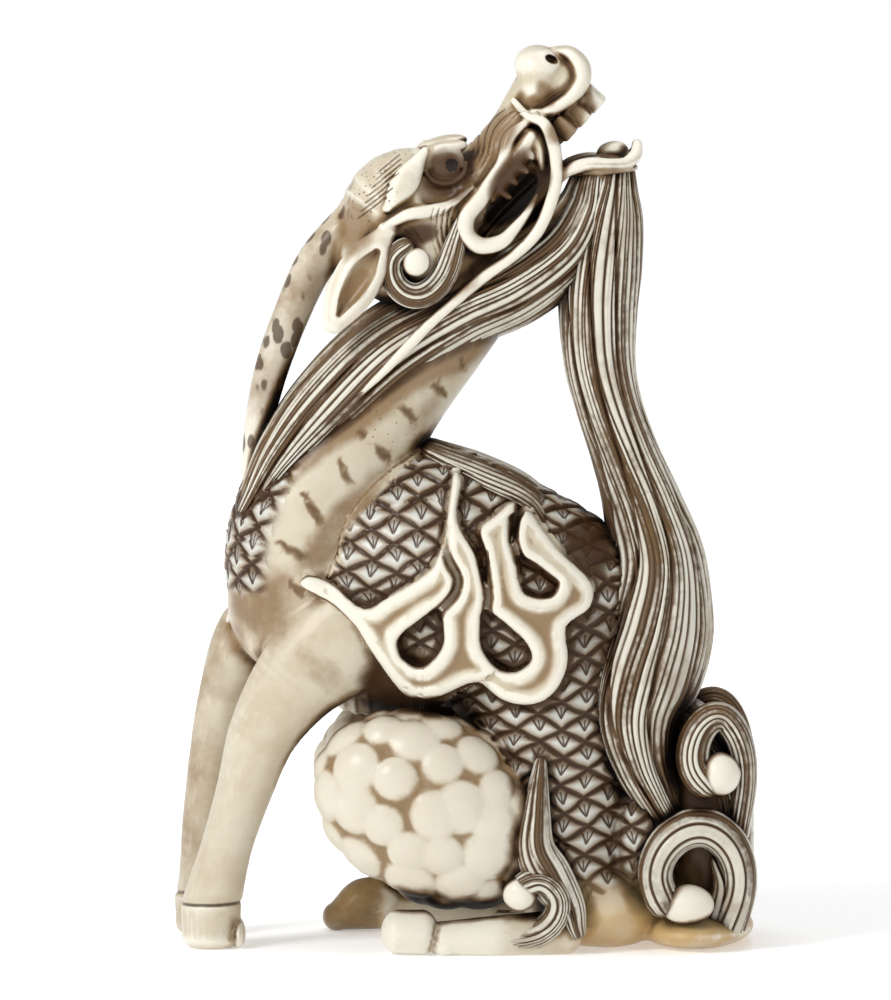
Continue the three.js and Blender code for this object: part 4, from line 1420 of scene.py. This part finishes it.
def body_values(p):
    """What the material reads on the body."""
    x, y, z = p.T
    off_trunk = np.minimum(trunk.distance(p), haunch.distance(p))
    flame, tan, brown = flame_stain(p, off_trunk, *stain_and_shade_patches(p, BODY_STAIN_AND_SHADE))
    off_mane, dashes = mane_sweep.distance(p), scutes(p)
    low, on_thigh = thigh_stain(p)
    # The far foreleg is painted tan and the far hind hoof brown: painted shade on the far side. The hoof's
    # amber is its own colour.
    far_foreleg = (x < -21) * ease(1, 4, y)
    far_hoof = ease(9, 7, z) * ease(-8.5, -10, x) * ease(-20, -18, x) * (y > 3)
    near_hind = ease(6.6, 5.6, z) * ease(-11.5, -10.5, x) * ease(5.5, 3, x) * (y < -8.5)
    base = ease(10, 2, z) * ease(8, 13, x)
    under_mane, beside_mane = ease(1.1, 0.2, off_mane), ease(3.0, 0.5, off_mane)
    tan = np.maximum.reduce([tan, 0.9 * beside_mane, 0.95 * dashes, 0.5 * far_foreleg, 0.85 * low])
    brown = np.maximum.reduce([brown, 0.7 * under_mane, 0.6 * dashes, 0.75 * hoof_line(p), 0.55 * far_hoof])
    warm = 0.95 * np.maximum(base, far_hoof)
    neck_pits = 0.6 * ease(4, 2, np.hypot(x + 8.2, z - 57.5))
    # Raised places are painted brighter and grooves darker: wear and stain, and also painted highlight and
    # shade. The thigh's lump tops and the near hind foot are painted bright.
    convex = exposure(body_grid, p)
    convex = np.where(((on_thigh > 0) | flame) & (convex < 0), 0.3 * convex, convex)
    convex = np.where(on_thigh > 0, 0.095 * (1 - low), convex)
    convex = np.maximum(convex, 0.13 * near_hind)
    return {
        "lattice": np.stack(scale_lattice(p), axis=1),
        "form": np.stack([convex, tan, brown], axis=1),
        "marks": np.stack([warm, neck_pits, np.zeros(len(p))], axis=1),
    }


PUPIL = [-1.6, 6.7, 86.1]
DOME_LINES = 7
DOME_LINE_ANGLE = math.radians(38)


def dome_lines(p):
    """Short cuts side by side over the side of the dome, from 0 off them to 1 in the middle."""
    best = np.zeros(len(p))
    way = np.array([math.cos(DOME_LINE_ANGLE), math.sin(DOME_LINE_ANGLE)])
    for k in range(DOME_LINES):
        start = np.array([-11.9 + 0.38 * k, 80.2 + 0.85 * k])
        off, _ = off_segment(p[:, [0, 2]], start, start + (3.9 + 0.5 * math.sin(2.3 * k)) * way)
        best = np.maximum(best, ease(0.17, 0.04, off))
    return best * (np.abs(p[:, 1]) > 2.5)


lip_line = spline([[s[0], s[2]] for s in MOUTH_LIPS])
LINE_PITCH = 0.62


def face_lines(p):
    """Fine lines that follow the lip round the muzzle and the cheek, from 0 off them to 1 in the middle."""
    away, _ = distance_to_line(p[:, [0, 2]], lip_line)
    ridge = np.abs((away / LINE_PITCH) % 1 - 0.5) * 2
    band = ease(1.1, 1.4, away) * ease(4.3, 3.4, away)
    left = ease(0.4, -0.6, (p[:, 0] - 2.6) * 0.8 - (p[:, 2] - 84) * 0.6)
    from_eye = np.hypot(p[:, 0] - EYE[0], p[:, 2] - EYE[2] + 0.9)
    return ease(0.55, 0.9, ridge) * band * left * ease(3.4, 4.2, from_eye) * (p[:, 2] < 92)


def head_relief(p):
    return -0.12 * dome_lines(p) - 0.12 * face_lines(p) + 0.6 * hand_cut(p)


def throat(p):
    """The slot of the open mouth, painted dark as shade, from 0 off it to 1 in it."""
    along, across = turned(p, 4.9, 82.1, 46)
    return (np.abs(p[:, 1]) < 4.3) * ease(1.0, 0.6, np.hypot(along / 5.2, across / 2.4))


def head_values(p):
    """What the material reads on the head."""
    x, y, z = p.T
    tan, brown = stain_and_shade_patches(p, HEAD_STAIN_AND_SHADE)
    from_pupil = np.linalg.norm(np.stack([x, np.abs(y), z], axis=1) - PUPIL, axis=1)
    pupil = ease(1.05, 0.75, from_pupil)
    lines = np.maximum(0.75 * dome_lines(p), 0.8 * face_lines(p))
    # The mouth's slot is painted near black: painted shade.
    brown = np.maximum.reduce([brown, lines, 1.2 * pupil, 1.4 * throat(p)])
    on_horn = ease(-11.5, -14, x) * (np.abs(y) < 3.5)
    tan = np.maximum(tan, 0.45 * on_horn * ease(48, 66, z))
    on_dome = ease(-7.5, -9, x - 0.4 * (z - 82)) * ease(79, 80.5, z)
    marks = np.stack([np.zeros(len(p)), on_dome * (1 - on_horn), on_horn], axis=1)
    return {"form": np.stack([exposure(head_grid, p), tan, brown], axis=1), "marks": marks}


BODY_STEP, BODY_TRIANGLES = 0.2, 198_000
HEAD_STEP, HEAD_TRIANGLES = 0.15, 190_000
BULB_SHINE = 0.15

material = ivory()
body_grid = Grid(body_forms, BODY_STEP, [-36, -18, -1], [36, 18, 78], 2)
body_mesh = carved(body_grid, body_relief, BODY_TRIANGLES)
finished("kirin_body", body_mesh, material, body_values(vertices_of(body_mesh)))
head_grid = Grid(head_forms, HEAD_STEP, [-26, -12, 46], [22, 12, 101], 2)
head_mesh = carved(head_grid, head_relief, HEAD_TRIANGLES)
finished("kirin_head", head_mesh, material, head_values(vertices_of(head_mesh)))
for name, shells in (("kirin_mane", mane_shells), ("kirin_tail", tail_shells), ("kirin_locks", lock_shells)):
    mesh, hair_values = shells.mesh(name)
    shine = BULB_SHINE * (1 - hair_values[:, 2])
    form = np.stack([shine, 0 * shine, 0 * shine], axis=1)
    finished(name, mesh, material, {"hair": hair_values, "form": form})

# ---------------------------------------------------------------- floor, light and camera

FLOOR_HALF = 3.0


def make_floor():
    """A pale floor that glows a little, less so near the object, where its shadow falls."""
    pale = Nodes("pale_floor")
    from_middle = pale.node("ShaderNodeVectorMath", operation="LENGTH")
    pale.join(pale.place, from_middle.inputs[0])
    glow = Value(pale, from_middle.outputs["Value"]).ease(0.05, 0.3) * 0.32 + 0.34
    pale.join(glow, pale.shader.inputs["Emission Strength"])
    look = {"Emission Color": (1, 1, 1, 1), "Base Color": (0.9, 0.9, 0.9, 1), "Roughness": 0.6}
    set_inputs(pale.shader, look)
    corners = FLOOR_HALF * np.array([[-1, -1, 0], [1, -1, 0], [1, 1, 0], [-1, 1, 0]], float)
    mesh = make_mesh("floor", corners, np.array([[0, 1, 2, 3]]))
    mesh.materials.append(pale.material)
    floor = bpy.data.objects.new("floor", mesh)
    bpy.context.collection.objects.link(floor)


def light_sky():
    """A white sky, brighter near the horizon."""
    world = bpy.data.worlds.new("studio")
    bpy.context.scene.world = world
    world.use_nodes = True
    nodes, links = world.node_tree.nodes, world.node_tree.links
    height = nodes.new("ShaderNodeSeparateXYZ")
    fall = nodes.new("ShaderNodeMapRange")
    fall.interpolation_type = "SMOOTHSTEP"
    set_inputs(fall, {"From Min": 0.1, "From Max": 0.5, "To Min": 0.7, "To Max": 0.32})
    links.new(nodes.new("ShaderNodeTexCoord").outputs["Generated"], height.inputs[0])
    links.new(height.outputs["Z"], fall.inputs["Value"])
    links.new(fall.outputs["Result"], nodes["Background"].inputs["Strength"])
    set_inputs(nodes["Background"], {"Color": (1, 1, 1, 1)})


def aim(thing, target):
    thing.rotation_euler = (target - thing.location).to_track_quat("-Z", "Y").to_euler()


LIT_SPOT = Vector((0, 0, 0.05))


def softbox(name, place, size, power):
    light = bpy.data.lights.new(name, "AREA")
    light.size, light.energy = size, power
    lamp = bpy.data.objects.new(name, light)
    lamp.location = place
    aim(lamp, LIT_SPOT)
    bpy.context.collection.objects.link(lamp)


VIEW_TALL, DISTANCE, ELEVATION = 0.110, 1.6, math.radians(5)
FRAME_TALL = 24
FRAME_WIDE = FRAME_TALL * 891 / 1000


def set_camera():
    camera = bpy.data.cameras.new("camera")
    camera.sensor_fit, camera.sensor_height, camera.sensor_width = "VERTICAL", FRAME_TALL, FRAME_WIDE
    camera.lens = FRAME_TALL * DISTANCE / VIEW_TALL
    eye = bpy.data.objects.new("camera", camera)
    target = Vector((-0.00215, 0, 0.0488))
    eye.location = target + DISTANCE * Vector((0, -math.cos(ELEVATION), math.sin(ELEVATION)))
    aim(eye, target)
    bpy.context.collection.objects.link(eye)
    bpy.context.scene.camera = eye


make_floor()
light_sky()
softbox("key_left", (-0.35, -0.35, 0.40), 0.22, 2.15)
softbox("fill_right", (0.45, -0.30, 0.25), 0.20, 0.2)
softbox("top", (0.0, 0.05, 0.55), 0.30, 1.1)
set_camera()
bpy.context.scene.view_settings.view_transform = "Standard"
